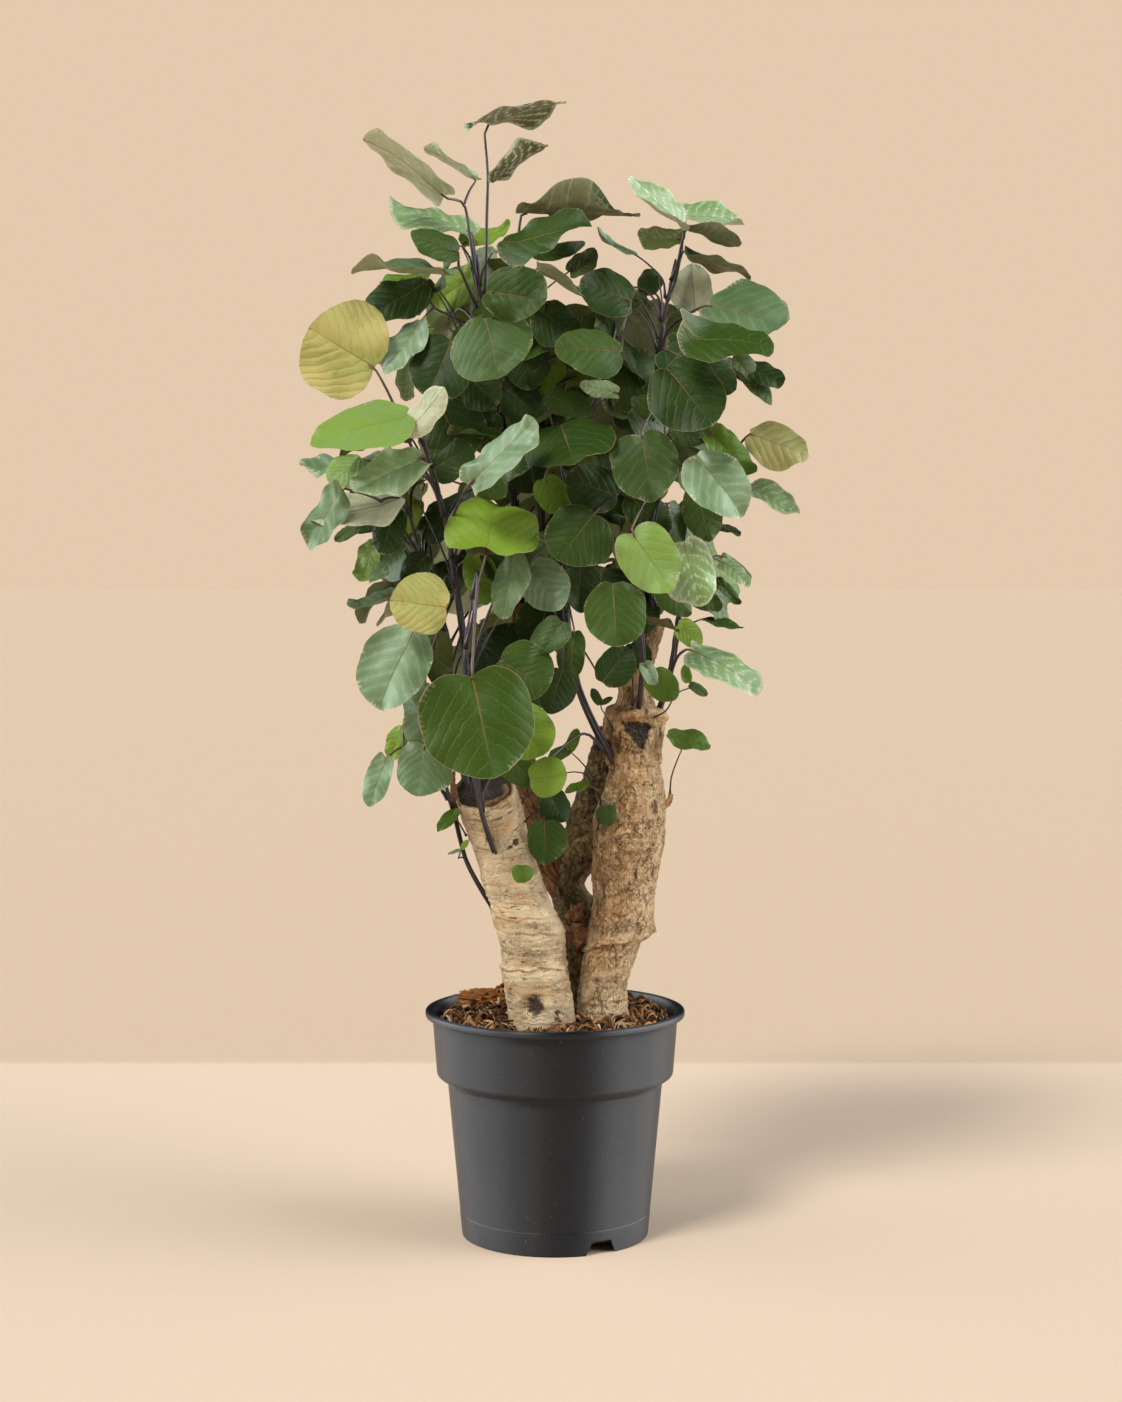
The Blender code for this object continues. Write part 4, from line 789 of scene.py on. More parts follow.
def growCloud(bm, cloud, chance, seed):
    x, z, wide, tall, count = cloud
    for index in range(count):
        behind = index % 3 != 0
        back = chance.uniform(*crown["behind" if behind else "among"])
        squeeze = 1 - 0.35 * (max(back, 0) / 14) ** 2
        angle, reach = chance.uniform(0, 2 * math.pi), math.sqrt(chance.uniform(0.02, 1.0)) * squeeze
        centre = onView(x + wide * reach * math.cos(angle), z + tall * reach * math.sin(angle), back)
        out = Vector((centre.x * 1.2, centre.y + 0.02 if behind else -0.10, 0.04 + chance.uniform(0, 0.10)))
        tilt = Vector((chance.gauss(0, 0.25), chance.gauss(0, 0.25), chance.gauss(0.15, 0.25)))
        upper = out.normalized() + tilt
        size = chance.uniform(*crown["length"]) * (1.0 if behind else 0.85)
        away = Vector((centre.x + chance.gauss(0, 0.05), centre.y * 0.6 + chance.gauss(0, 0.03), -0.05))
        forward = (away - upper.normalized() * away.dot(upper.normalized())).normalized()
        base, tip = centre - forward * size * 0.5, centre + forward * size * 0.5
        if max(base.y, tip.y) > crown["backmost"]:
            continue
        shoot, share = nearestShoot(base)
        root, rise, radius = stalkStart(shoot, share)
        start = root + (base - root).normalized() * radius * 0.5
        points = [start, start.lerp(base, 0.35) + rise * 0.015, start.lerp(base, 0.8) + Vector((0, 0, 0.012)),
                  base, base + forward * 0.005]
        look = looks[chance.choice(crown["behindBacklitLooks" if behind else "amongLooks"])]
        addStalk(bm, smoothPath(points, 9), *crown["stalk"], 0.6, heel=0.5, sides=5)
        addBlade(bm, base, tip, upper, chance.uniform(*crown["width"]), look, fold=chance.uniform(0.0, 0.15),
                 arch=chance.uniform(0.0, 0.20), fine=0.50, seed=seed * 100 + index)


def nearestShoot(base):  # the shoot and the place on it, somewhat below, that a leaf here springs from
    best = (9.0, "stem_mid", 0.5)
    for name, path in shootPaths.items():
        for step in range(10, shootSpans + 1, 5):
            gap = path[step] - base
            cost = gap.length + 1.6 * max(gap.z + 0.03, 0.0)
            best = min(best, (cost, name, step / shootSpans))
    return best[1], best[2]


for index, cloud in enumerate(crown["clouds"]):
    bm = bmesh.new()
    growCloud(bm, cloud, random.Random(index * 31 + 4), index + 60)
    addPiece("crown_%d" % index, bm, leafSkins)
print("leaves done")

# The stumps: rows of x, y, z and radius in centimetres, from below the soil up. A lump is x, y, z, spread and
# push; a stain z, spread and strength; a ledge z, drop and slope; a roll of callus z, spread, push, slope and
# colour; a burn x, top, bottom, half width and drift of a charred cut.
stumps = {
    "left": {
        "rows": ((-1.3, -3.5, 16.0, 2.75), (-1.2, -3.7, 18.6, 3.30), (-1.25, -3.65, 21.0, 3.05),
            (-1.6, -3.6, 23.6, 3.05), (-1.95, -3.6, 25.3, 3.15), (-2.0, -3.6, 26.1, 2.92),
            (-2.4, -3.6, 29.1, 3.10), (-3.4, -3.6, 31.9, 2.85), (-4.3, -3.7, 34.8, 2.70),
            (-5.1, -3.8, 37.5, 2.62), (-5.9, -3.9, 40.2, 2.75), (-6.4, -4.0, 41.7, 2.82)),
        "lumps": ((-1.8, -6.7, 22.4, 0.80, -0.42), (-2.7, -6.5, 23.3, 0.8, 0.30),
            (-0.9, -6.8, 22.6, 0.6, 0.22), (0.5, -6.5, 21.6, 0.60, -0.30), (-1.5, -7.0, 20.3, 1.5, 1.15),
            (1.0, -6.3, 22.3, 0.5, 0.15), (1.2, -6.0, 22.3, 0.9, 0.20), (-3.9, -5.5, 24.0, 0.9, 0.18),
            (-4.6, -5.6, 26.2, 0.7, 0.20), (-4.2, -6.0, 37.0, 0.45, -0.28), (-3.5, -5.9, 37.5, 0.35, -0.22),
            (-5.9, -6.3, 38.2, 0.40, -0.16), (-3.2, -6.5, 33.6, 0.5, 0.15), (0.4, -5.6, 28.9, 0.6, 0.15),
            (-8.5, -5.2, 38.8, 0.7, 0.25), (-4.2, -6.4, 31.0, 0.7, 0.15), (-0.6, -6.5, 24.6, 0.5, 0.15)),
        "stains": ((27.3, 1.2, 0.60), (29.6, 0.4, 0.4), (40.6, 0.6, 0.35), (32.4, 0.30, 0.35),
            (22.0, 2.0, 0.35)),
        "ledges": ((25.6, 0.14, 0.1), (28.9, 0.06, -0.2), (30.2, 0.05, 0.1), (31.6, 0.06, -0.3),
            (33.4, 0.05, 0.2), (36.6, 0.05, -0.5)),
        "facing": (-0.10, -0.50, 0.86), "sides": 140, "spans": 270, "plates": (0.0150, 0.0055),
        "lift": 0.00034, "rings": 380, "ringLift": 0.00045, "pale": 0.0, "patchy": 0.25,
        "rolls": ((39.9, 0.35, 0.08, 0.6, 0.35),), "burns": (),
    },
    "right": {
        "rows": ((4.3, -1.1, 16.0, 2.05), (4.4, -1.2, 18.6, 2.45), (4.4, -1.1, 22.8, 2.28),
            (4.8, -1.1, 25.2, 2.38), (5.35, -1.1, 27.3, 2.62), (5.85, -1.1, 27.9, 2.98),
            (6.3, -1.1, 30.7, 2.85), (6.5, -1.1, 34.4, 3.12), (6.8, -1.1, 37.4, 3.32),
            (7.1, -1.1, 40.2, 3.05), (7.3, -1.1, 42.8, 2.52), (7.25, -1.1, 44.2, 2.42),
            (7.2, -1.1, 46.4, 2.80), (7.35, -1.1, 48.1, 2.74), (7.5, -1.1, 48.9, 2.50),
            (7.4, -1.0, 49.3, 1.75), (7.3, -0.9, 51.5, 1.45), (7.9, -1.0, 53.6, 1.28),
            (8.6, -1.1, 55.4, 1.12), (9.0, -1.1, 56.6, 1.05)),
        "lumps": ((9.0, -2.3, 28.5, 0.75, 0.65), (7.6, -3.7, 28.3, 0.9, 0.25), (5.2, -3.9, 28.3, 0.8, 0.18),
            (9.6, -2.0, 40.3, 0.45, 0.50), (5.8, -3.5, 48.6, 0.55, 0.30), (8.6, -3.4, 48.7, 0.55, 0.30),
            (7.3, -3.7, 48.5, 0.60, 0.45), (6.4, -3.9, 48.4, 0.45, 0.30), (5.2, -3.7, 19.7, 0.8, 0.30),
            (3.4, -3.5, 23.5, 0.7, 0.15), (4.2, -3.5, 33.5, 1.0, 0.15), (8.7, -3.4, 36.5, 1.0, 0.15),
            (5.0, -3.5, 26.0, 0.6, 0.15), (7.0, -4.2, 39.0, 0.8, 0.12), (6.4, -4.2, 43.4, 0.5, 0.15),
            (8.4, -3.6, 43.6, 0.5, 0.18)),
        "stains": ((36.5, 5.5, 0.45), (45.6, 1.2, 0.5), (29.0, 0.8, 0.5)),
        "ledges": ((27.5, 0.20, 0.9), (43.7, 0.09, 0.1), (24.2, 0.06, -0.2), (22.0, 0.05, 0.2),
            (41.6, 0.05, -0.3), (38.6, 0.04, 0.3), (33.0, 0.04, 0.2)),
        "rolls": ((48.35, 0.30, 0.24, -0.1, 1.0), (47.7, 0.20, 0.10, 0.1, 0.5),
            (44.3, 0.36, 0.15, 0.1, 0.45), (42.5, 0.32, 0.10, -0.2, 0.35)),
        "facing": (0.25, 0, 0.97), "sides": 140, "spans": 340, "plates": (0.0036, 0.0080), "lift": 0.00042,
        "rings": 420, "ringLift": 0.0005, "pale": 0.8, "patchy": 0.7,
        "burns": ((7.3, 47.7, 45.3, 1.75, -0.75),),
    },
    "rear": {
        "rows": ((2.0, 3.4, 16.0, 1.7), (2.0, 3.5, 20.5, 1.9), (2.0, 3.6, 24.5, 1.72),
            (1.9, 3.7, 27.8, 2.05), (1.8, 3.9, 30.2, 2.0), (1.1, 4.0, 32.0, 1.75), (1.9, 4.2, 33.8, 1.9),
            (2.3, 4.3, 35.6, 2.0), (3.3, 4.5, 38.4, 2.0), (4.6, 4.6, 42.0, 1.95), (5.9, 4.7, 46.2, 1.8)),
        "lumps": ((3.4, 3.4, 34.2, 1.0, 0.45), (3.4, 3.4, 30.0, 1.0, 0.45), (2.9, 3.6, 25.5, 1.0, 0.30)),
        "ledges": ((33.0, 0.05, 0.2), (38.0, 0.05, 0.1), (42.0, 0.05, 0.1)),
        "facing": (0.30, 0, 0.95), "sides": 84, "spans": 170, "plates": (0.0060, 0.0070), "lift": 0.0010,
        "rings": 420, "ringLift": 0.0006, "pale": 0.0, "patchy": 1.0, "burns": (), "rolls": (),
        "stains": ((32, 3, 0.6),),
    },
    "fork": {
        "rows": ((2.0, 3.9, 28.6, 1.2), (0.9, 4.0, 31.0, 1.5), (-0.9, 4.0, 34.2, 1.35),
            (-2.4, 4.0, 39.5, 1.2), (-3.2, 3.9, 46.0, 1.15), (-3.2, 3.8, 52.0, 1.1), (-2.8, 3.7, 58.4, 1.1)),
        "facing": (0, 0, 1), "sides": 60, "spans": 150, "plates": (0.0036, 0.0180), "lift": 0.0008,
        "rings": 160, "ringLift": 0.0005, "pale": 0.0, "patchy": 1.0, "burns": (), "lumps": (),
        "stains": ((52, 9, 0.5),), "ledges": (), "rolls": (),
    },
}
sawCut = {  # the lid of a stump, with distances as shares of the way in from its rim
    "spans": 26, "rim": 0.07, "rimAt": 0.035, "rimWidth": 0.05, "crescent": 0.12, "crescentAt": 0.30,
    "crescentWidth": 0.085, "crescentTurn": 0.80, "sunk": 0.06, "grain": 0.05,
}
burnDepth = 0.42


def barkLayers(bm):
    masks = bm.verts.layers.float_color.new("barkMask")
    places = bm.verts.layers.float_vector.new("barkPlace")
    return masks, places, bm.verts.layers.float.new("barkPaleLitSide")


def barkRelief(at, plan):  # how far the bark stands out here in metres, and its seams and plates
    wide, tall = plan["plates"]
    cell = Vector((at.x / wide, at.y / wide, at.z / tall)) + noise.noise_vector(at * 55) * 0.9
    distances, points = noise.voronoi(cell)
    plate = noise.noise(points[0] * 5.3)
    seam = min((distances[1] - distances[0]) * 3.0, 1.0)
    ridge = 1 - abs(noise.noise(Vector((at.x * 22, at.y * 22, at.z * plan["rings"] / 2)))) * 3.2
    fine = 0.0004 * noise.fractal(at * 330, 1.0, 2.0, 3)
    return plan["lift"] * (1.3 * plate + 0.8 * seam - 0.8) + plan["ringLift"] * ridge + fine, seam, plate


def growStump(bm, plan):
    path = smoothPath(inMetres(plan["rows"]), plan["spans"])
    facing = Vector(plan["facing"])
    spans = plan["spans"]
    top = path[-1]
    width = sum(row.w for row in path) / len(path)
    stump = unitTube(plan["sides"], spans + sawCut["spans"])
    masks, places, paleLitSides = barkLayers(stump)
    for vert in stump.verts:
        step = round(vert.co.z * (spans + sawCut["spans"]))
        angle = math.atan2(vert.co.y, vert.co.x)
        out = Vector((math.cos(angle), math.sin(angle), 0))
        row = path[min(step, spans)]
        centre = row.to_3d()
        high = row.z / cm
        reach = row.w * (1 + 0.08 * noise.noise(out * 1.6 + Vector((row.x * 9, row.y * 9, row.z * 32))))
        at = out * width + Vector((0, 0, row.z))
        relief, seam, plate = barkRelief(at, plan)
        for z, drop, slope in plan["ledges"]:
            wavy = z + slope * out.x + 0.35 * noise.noise(out * 2.1 + Vector((0, 0, z)))
            below = (high - wavy) / 0.35
            relief += drop * cm * (math.exp(-max(below, 0)) if below > 0 else -math.exp(below * 0.6))
        stain = sum(amount * math.exp(-((high - z) / spread) ** 2) for z, spread, amount in plan["stains"])
        rolled = 0.0
        for z, spread, push, slope, tanned in plan["rolls"]:
            wavy = z + slope * out.x + 0.35 * noise.noise(out * 2.6 + Vector((0, 0, z * 1.7)))
            strength = 0.7 + 0.5 * noise.noise(out * 3 + Vector((z, 0, 0)))
            share = math.exp(-((high - wavy) / spread) ** 2) * strength
            relief += push * cm * share
            rolled = max(rolled, tanned * share)
        place = centre + out * reach
        dent, burnt = 0.0, 0.0
        for x, y, z, spread, push in plan["lumps"]:
            share = math.exp(-((place - Vector((x, y, z)) * cm).length / (spread * cm)) ** 2)
            relief += push * cm * share
            dent += share if push < 0 else 0.0
        for x, z, low, half, drift in plan["burns"]:  # narrower further down
            share = (place.z / cm - low) / (z - low)
            if place.y < row.y and 0 < share < 1.1:
                ragged = noise.noise(place * 160) + 0.6 * noise.noise(place * 420)
                middle = x - drift * (1 - share) + 0.30 * noise.noise(Vector((0, 0, place.z * 240)))
                reached = half * min(share, 1.0) ** 0.7 + 0.05
                inside = 1 - abs(place.x / cm - middle) / reached + 0.22 * ragged
                within = smoothStep(inside, 0.0, 0.30) * (1 - smoothStep(share + 0.12 * ragged, 0.92, 1.08))
                relief -= burnDepth * cm * within
                burnt = max(burnt, within)
        tilt = smoothStep(step / spans, 0.70, 1.0)
        cut, callus, lift = 0.0, 0.0, 0.0
        if step > spans:
            inward = (step - spans) / sawCut["spans"]
            reach *= max(1 - inward, 0.01)
            arc = smoothStep(math.cos(angle + sawCut["crescentTurn"]), 0.30, 0.75)
            off = inward - sawCut["crescentAt"] - 0.04 * math.sin(3 * angle)
            crescent = arc * math.exp(-(off / sawCut["crescentWidth"]) ** 2)
            rim = math.exp(-((inward - sawCut["rimAt"]) / sawCut["rimWidth"]) ** 2)
            wood = noise.noise(Vector((out.x * reach, out.y * reach, 0.3)) * 210)
            lift = top.w * (sawCut["rim"] * rim + sawCut["crescent"] * crescent
                            - sawCut["sunk"] * smoothStep(inward, 0.06, 0.22) + sawCut["grain"] * wood)
            cut = smoothStep(inward, 0.05, 0.12)
            callus = max(crescent, 0.8 * rim)
            relief = 0.0
            at = Vector((out.x * reach, out.y * reach, top.z + inward * 0.02))
        else:
            relief *= 1 - smoothStep(step / spans, 0.985, 1.0) * 0.7
        place = centre + out * (reach + relief)
        place.z += lift - tilt * (place - centre).dot(facing) / facing.z
        ragged = 0.40 * noise.noise(place * 170) + 0.30 * noise.noise(place * 430)
        # Dents get a dark stain and a charred core, and the alpha below drops there: dark wood, with painted
        # shade in the hollows.
        knot = smoothStep(dent + ragged, 0.25, 0.60)
        core = 0.85 * smoothStep(dent + ragged, 0.42, 0.66)
        # The mask's alpha is how far the bark stands out; the skin paints the low seams and dents darker, as
        # painted shade.
        standing = max(0.0, min(1.0, 0.5 + plan["patchy"] * (0.6 * plate - 0.4 * (1 - seam))))
        foot = 1 - smoothStep(high, 22.5, 26.0)
        vert[masks] = (max(cut, core, smoothStep(burnt, 0.25, 0.7)), max(callus, rolled * (1 - burnt)),
                       min(stain + knot, 1.0), standing * (1 - knot))
        vert[places] = at
        # paler on the side facing right and a little forward, painted light with a pale lichen tone, and
        # paler at the foot
        vert[paleLitSides] = plan["pale"] * max(smoothStep(math.cos(angle + 0.35), 0.1, 0.9), foot)
        vert.co = place
    joinInto(bm, stump)


woodFinish = {
    "mossGreen": (0.360, 0.330, 0.110), "char": (0.016, 0.013, 0.012), "ash": (0.130, 0.100, 0.080),
    "callusDark": (0.330, 0.150, 0.060), "callusPale": (0.640, 0.390, 0.200),
}
barkFinish = {
    "left": {
        "light": (1.000, 0.820, 0.530), "mid": (0.800, 0.530, 0.265), "dark": (0.130, 0.066, 0.026),
        "stain": (0.280, 0.170, 0.078), "flake": (0.970, 0.830, 0.580), "broad": (0.36, 0.54), "across": 3.0,
        "dash": 5.0, "moss": 0.10, "cells": 240.0, "chips": 0.14, "seams": 0.14, "relief": 0.50},
    "right": {
        "light": (0.820, 0.550, 0.290), "mid": (0.440, 0.240, 0.095), "dark": (0.075, 0.036, 0.014),
        "stain": (0.200, 0.118, 0.045), "flake": (0.940, 0.760, 0.500), "broad": (0.44, 0.62), "across": 0.60,
        "dash": 0.35, "moss": 0.35, "cells": 300.0, "chips": 0.55, "seams": 0.22, "relief": 0.6},
    "rear": {
        "light": (0.340, 0.260, 0.110), "mid": (0.150, 0.098, 0.038), "dark": (0.030, 0.018, 0.008),
        "stain": (0.085, 0.060, 0.024), "flake": (0.400, 0.300, 0.160), "broad": (0.38, 0.60), "across": 1.0,
        "dash": 0.35, "moss": 0.60, "cells": 190.0, "chips": 0.45, "seams": 0.45, "relief": 0.6},
    "fork": {
        "light": (0.420, 0.200, 0.090), "mid": (0.250, 0.105, 0.045), "dark": (0.030, 0.012, 0.007),
        "stain": (0.200, 0.150, 0.075), "flake": (0.400, 0.240, 0.130), "broad": (0.38, 0.60), "across": 0.30,
        "dash": 0.15, "moss": 0.12, "cells": 190.0, "chips": 0.40, "seams": 0.50, "relief": 0.6},
    "burl": {
        "light": (0.420, 0.215, 0.100), "mid": (0.260, 0.120, 0.052), "dark": (0.055, 0.024, 0.012),
        "stain": (0.150, 0.080, 0.036), "flake": (0.560, 0.360, 0.190), "broad": (0.38, 0.60), "across": 0.8,
        "dash": 0.6, "moss": 0.08, "cells": 210.0, "chips": 0.45, "seams": 0.45, "relief": 0.6},
}


def barkSkin(name):
    tones = barkFinish[name]
    finish = Finish("bark_" + name, {**woodFinish, **tones}, 0.85, Specular_IOR_Level=0.22)
    at = finish.painted("barkPlace", "Vector")
    mask = finish.painted("barkMask")
    cut, callus, stain = finish.split("SeparateColor", mask)
    lift = Value(finish, mask.socket.node.outputs["Alpha"])
    pale = finish.painted("barkPaleLitSide", "Fac")
    across = finish.stretched(at, (1, 1, tones["across"]))
    shift = finish.node("TexNoise", inputs={"Vector": at, "Scale": 110.0, "Detail": 3.0}, out=1)
    shift = finish.node("VectorMath", {"operation": "SCALE"}, {0: shift, "Scale": 0.014})
    warped = finish.node("VectorMath", {"operation": "ADD"}, {0: across, 1: shift})
    broad = finish.noise(finish.stretched(at, (1, 1, 2.0)), 28.0, 5.0, 0.6)
    rings = finish.noise(across, 130.0, 6.0, 0.62, 0.4)
    cracks = (1 - abs(rings - 0.5).ramp(0.002, 0.016)) * finish.noise(at, 48.0, 3.0).ramp(0.46, 0.62)
    dashes = finish.noise(finish.stretched(at, (1, 1, tones["dash"])), 85.0, 4.0, 0.6).ramp(0.585, 0.635)
    dashes = dashes * finish.noise(at, 35.0, 2.0).ramp(0.44, 0.56)
    chip = finish.split("SeparateXYZ", finish.cells(warped, tones["cells"], out=1))[0]
    plates = finish.cells(warped, tones["cells"], "DISTANCE_TO_EDGE")
    flakes = (1 - plates.ramp(0.0, 0.06)) * finish.noise(at, 66.0, 3.0).ramp(0.44, 0.64)
    grain = finish.noise(across, 640.0, 5.0, 0.7)
    pits = (1 - finish.cells(across, 430.0).ramp(0.16, 0.34)) * finish.noise(at, 95.0, 2.0).ramp(0.5, 0.66)
    moss = finish.noise(at, 62.0, 5.0, 0.6).ramp(0.50, 0.68) * grain.ramp(0.42, 0.62)
    wood = finish.blend(grain.ramp(0.40, 0.62), "char", "ash")
    rolled = finish.blend(grain.ramp(0.3, 0.7), "callusDark", "callusPale")
    finish.colour(finish.coats(
        "mid", (broad.ramp(*tones["broad"]), "light"),
        ((chip - 0.5).ramp(0.0, 0.5) * tones["chips"], "flake"),
        ((0.45 - chip).ramp(0.0, 0.45) * tones["chips"] * 0.8, "mid"),
        (lift.ramp(0.60, 0.95) * grain.ramp(0.35, 0.6) * 0.6, "flake"),
        # painted light with a pale lichen tone on one side of the stump, and a paler foot
        (pale * grain.ramp(0.30, 0.60) * 0.75, "flake"),
        (stain * (0.3 + 0.7 * broad.ramp(0.3, 0.6)) * rings.ramp(0.30, 0.55), "stain"),
        # painted shade in the low seams and dents
        (moss * tones["moss"], "mossGreen"), ((1 - lift).ramp(0.60, 1.0) * 0.75, "dark"),
        (grain.ramp(0.56, 0.72) * 0.35, "flake"), (dashes * 0.85, "dark"), (cracks * 0.80, "dark"),
        (flakes * tones["seams"], "dark"), (pits * 0.60, "dark"),
        ((0.47 - grain).ramp(0.0, 0.10) * 0.55, "dark"), (cut, wood), (callus * 0.85, rolled)))
    finish.rough(0.72 + 0.22 * grain)
    height = rings * tones["relief"] + chip * tones["chips"] * 0.5 - cracks * 0.5 - flakes * tones["seams"]
    finish.bump(height - dashes * 0.5 - pits * 0.6 + grain * 0.55, 0.0034)
    return finish


barkSkins = {name: barkSkin(name) for name in barkFinish}
for name, slot, nodes in (("left", "bark", ["stump_left"]), ("right", "bark", ["stump_right"]),
                          ("rear", "bark_rear", ["stump_rear"]), ("fork", "bark_rear", [])):
    bm = bmesh.new()
    growStump(bm, stumps[name])
    addPiece("trunk_" + name, bm, [barkSkins[name]], nodes)
print("stumps done")


# The small wood: two burls between the stumps, a splinter on the left one, a stub on the right one.
def makeBurl(name, place, size, seed):
    bm = bmesh.new()
    masks, places, _ = barkLayers(bm)
    bmesh.ops.create_icosphere(bm, subdivisions=5, radius=1.0)
    for vert in bm.verts:
        out = vert.co.copy()
        knob = noise.noise(out * 1.7 + Vector((seed, 0, 0))) * 0.45 + noise.noise(out * 4.5) * 0.22
        knob += noise.fractal(out * 12, 1.0, 2.0, 3) * 0.05
        plain = Vector([axis * length * cm for axis, length in zip(out, size)])
        vert.co = Vector(place) * cm + plain * (1 + knob)
        # the alpha, how far the burl stands out, paints its lowest parts darker: painted shade in the hollows
        vert[masks] = (0, 0, 0.15, max(0.0, min(1.0, 0.6 + knob)))
        vert[places] = vert.co
    addPiece(name, bm, [barkSkins["burl"]])


def makeTwig(name, points, thick, thin, skin):
    bm = unitTube(12, 30)
    masks, places, _ = barkLayers(bm)

    def reach(share, angle):
        rough = noise.noise(Vector((math.cos(angle), math.sin(angle), share * 9)) * 1.6)
        return (thick + (thin - thick) * share) * cm * (1 + 0.30 * rough)
    layAlong(bm, smoothPath(inMetres(points), 30), reach)
    for vert in bm.verts:
        vert[masks] = (0, 0, 0.2, 0.5)
        vert[places] = vert.co
    addPiece(name, bm, [barkSkins[skin]])


makeBurl("burl_low", (2.2, -0.6, 27.9), (1.25, 1.3, 1.15), 3)
makeBurl("burl_high", (2.1, 0.2, 29.6), (0.95, 1.1, 0.95), 8)
makeTwig("splinter_left", ((-8.6, -4.6, 39.6), (-9.0, -4.7, 41.0), (-9.2, -4.6, 42.2), (-9.1, -4.5, 43.4)),
         0.55, 0.12, "burl")
makeTwig("stub_right", ((9.6, -1.7, 39.9), (10.1, -1.9, 40.1), (10.5, -2.0, 40.6), (10.6, -2.0, 41.1)),
         0.42, 0.20, "right")

# Sprouts straight from the bark: the way of the stalk, then the blades at its end.
sprouts = (
    (((10.5, -2.0, 41.0), (10.6, -2.4, 42.6), (11.1, -2.8, 44.2), (11.5, -3.2, 45.2)),
     ((10.5, 46.4, 14.3, 45.3, -3.2, -0.5, (0, -6, 6), 0.62, "leafy"),)),
    (((8.6, -3.2, 48.0), (10.0, -4.0, 48.8), (11.0, -4.4, 50.4), (12.4, -4.6, 51.0)),
     ((12.3, 51.2, 11.9, 52.8, -4.6, 0.0, (-2, -8, 3), 0.60, "fresh"),
      (12.4, 51.0, 14.0, 50.0, -4.6, 0.0, (1, -7, 5), 0.62, "mid"))),
    (((3.6, 2.2, 42.0), (3.2, 0.0, 42.9), (2.2, -2.0, 44.2), (1.5, -2.6, 44.9)),
     ((1.4, 44.9, 2.0, 46.9, -2.6, 0.0, (3, -8, 2), 0.60, "fresh"),
      (1.4, 44.9, -0.6, 44.2, -2.6, 0.0, (-1, -8, 4), 0.60, "mid"))),
    (((3.6, 2.4, 41.0), (3.0, 0.2, 42.6), (1.8, -0.8, 43.0), (0.9, -1.0, 42.9)),
     ((0.9, 43.0, -0.9, 42.8, -1.0, 0.0, (0, -4, 8), 0.50, "fresh"),)),
    (((3.6, -1.6, 36.0), (4.0, -3.0, 38.6), (4.3, -4.0, 40.8), (4.6, -4.6, 40.2)),
     ((4.7, 39.8, 4.9, 37.9, -4.9, 0.0, (0, -9, 2), 1.05, "deep"),)),
    (((4.2, -2.8, 40.2), (3.9, -3.6, 41.4), (3.3, -3.8, 41.9), (2.9, -3.8, 41.8)),
     ((3.0, 41.9, 0.9, 41.2, -3.8, 0.0, (-1, -7, 6), 0.50, "fresh"),)),
    (((-3.1, -5.9, 35.0), (-3.2, -6.8, 35.0), (-3.1, -7.3, 34.6)),
     ((-3.1, 34.3, -3.0, 32.6, -7.5, 0.0, (0, -9, 2), 1.15, "fresh"),)),
    (((-2.9, -4.0, 38.6), (-1.8, -4.8, 39.6), (-1.1, -5.4, 38.9)),
     ((-1.0, 38.4, -0.8, 34.4, -5.6, -0.3, (0, -9, 1), 0.90, "mid"),)),
    (((-3.4, -3.0, 39.6), (-2.2, -3.0, 41.4), (-0.8, -3.2, 41.2)),
     ((-0.6, 41.0, 0.9, 38.4, -3.2, -0.3, (2, -9, 1), 1.00, "deep"),)),
    (((-8.0, -5.0, 37.6), (-8.7, -5.8, 39.0), (-8.9, -6.0, 39.3)),
     ((-8.9, 39.4, -10.9, 37.4, -6.0, 0.0, (-2, -8, 3), 0.42, "fresh"),)),
    (((-8.1, -5.3, 35.6), (-8.5, -5.7, 35.7), (-8.7, -5.8, 35.6)),
     ((-8.7, 35.7, -9.9, 35.3, -5.8, 0.0, (0, -6, 7), 0.45, "silver"),
      (-8.6, 35.8, -8.0, 36.6, -5.8, 0.0, (0, -7, 5), 0.60, "young"))),
    (((5.4, -2.6, 46.8), (4.8, -4.0, 48.0), (4.2, -4.6, 49.0)),
     ((4.2, 49.2, 3.4, 50.6, -4.6, 0.0, (-2, -8, 3), 0.55, "mid"),
      (4.2, 49.2, 5.3, 49.8, -4.6, 0.0, (2, -8, 3), 0.45, "deep"))),
    (((-7.2, -6.0, 40.9), (-7.4, -7.0, 42.4), (-7.0, -7.4, 43.4)),
     ((-7.0, 43.4, -5.6, 44.6, -7.4, 0.0, (0, -8, 4), 0.60, "young"),)),
)
sproutStalk = {"thick": 0.0009, "thin": 0.0006, "twin": 0.0006, "twinThin": 0.0004}
bm = bmesh.new()
for index, (way, blades) in enumerate(sprouts):
    stalk = smoothPath(inMetres(way), 12)
    addStalk(bm, stalk, sproutStalk["thick"], sproutStalk["thin"], 0.8, heel=0.8, sides=5)
    for turn, (x, z, tipX, tipZ, back, further, upper, width, look) in enumerate(blades):
        base, tip = onView(x, z, back), onView(tipX, tipZ, back + further)
        addStalk(bm, smoothPath([stalk[-1], base, base.lerp(tip, 0.08)], 4), sproutStalk["twin"],
                 sproutStalk["twinThin"], 0.9, heel=0, sides=5)
        addBlade(bm, base, tip, Vector(upper), width, looks[look], fold=0.12, arch=0.10, fine=0.55,
                 seed=900 + index * 5 + turn)
addPiece("sprouts", bm, leafSkins)
print("sprouts done")

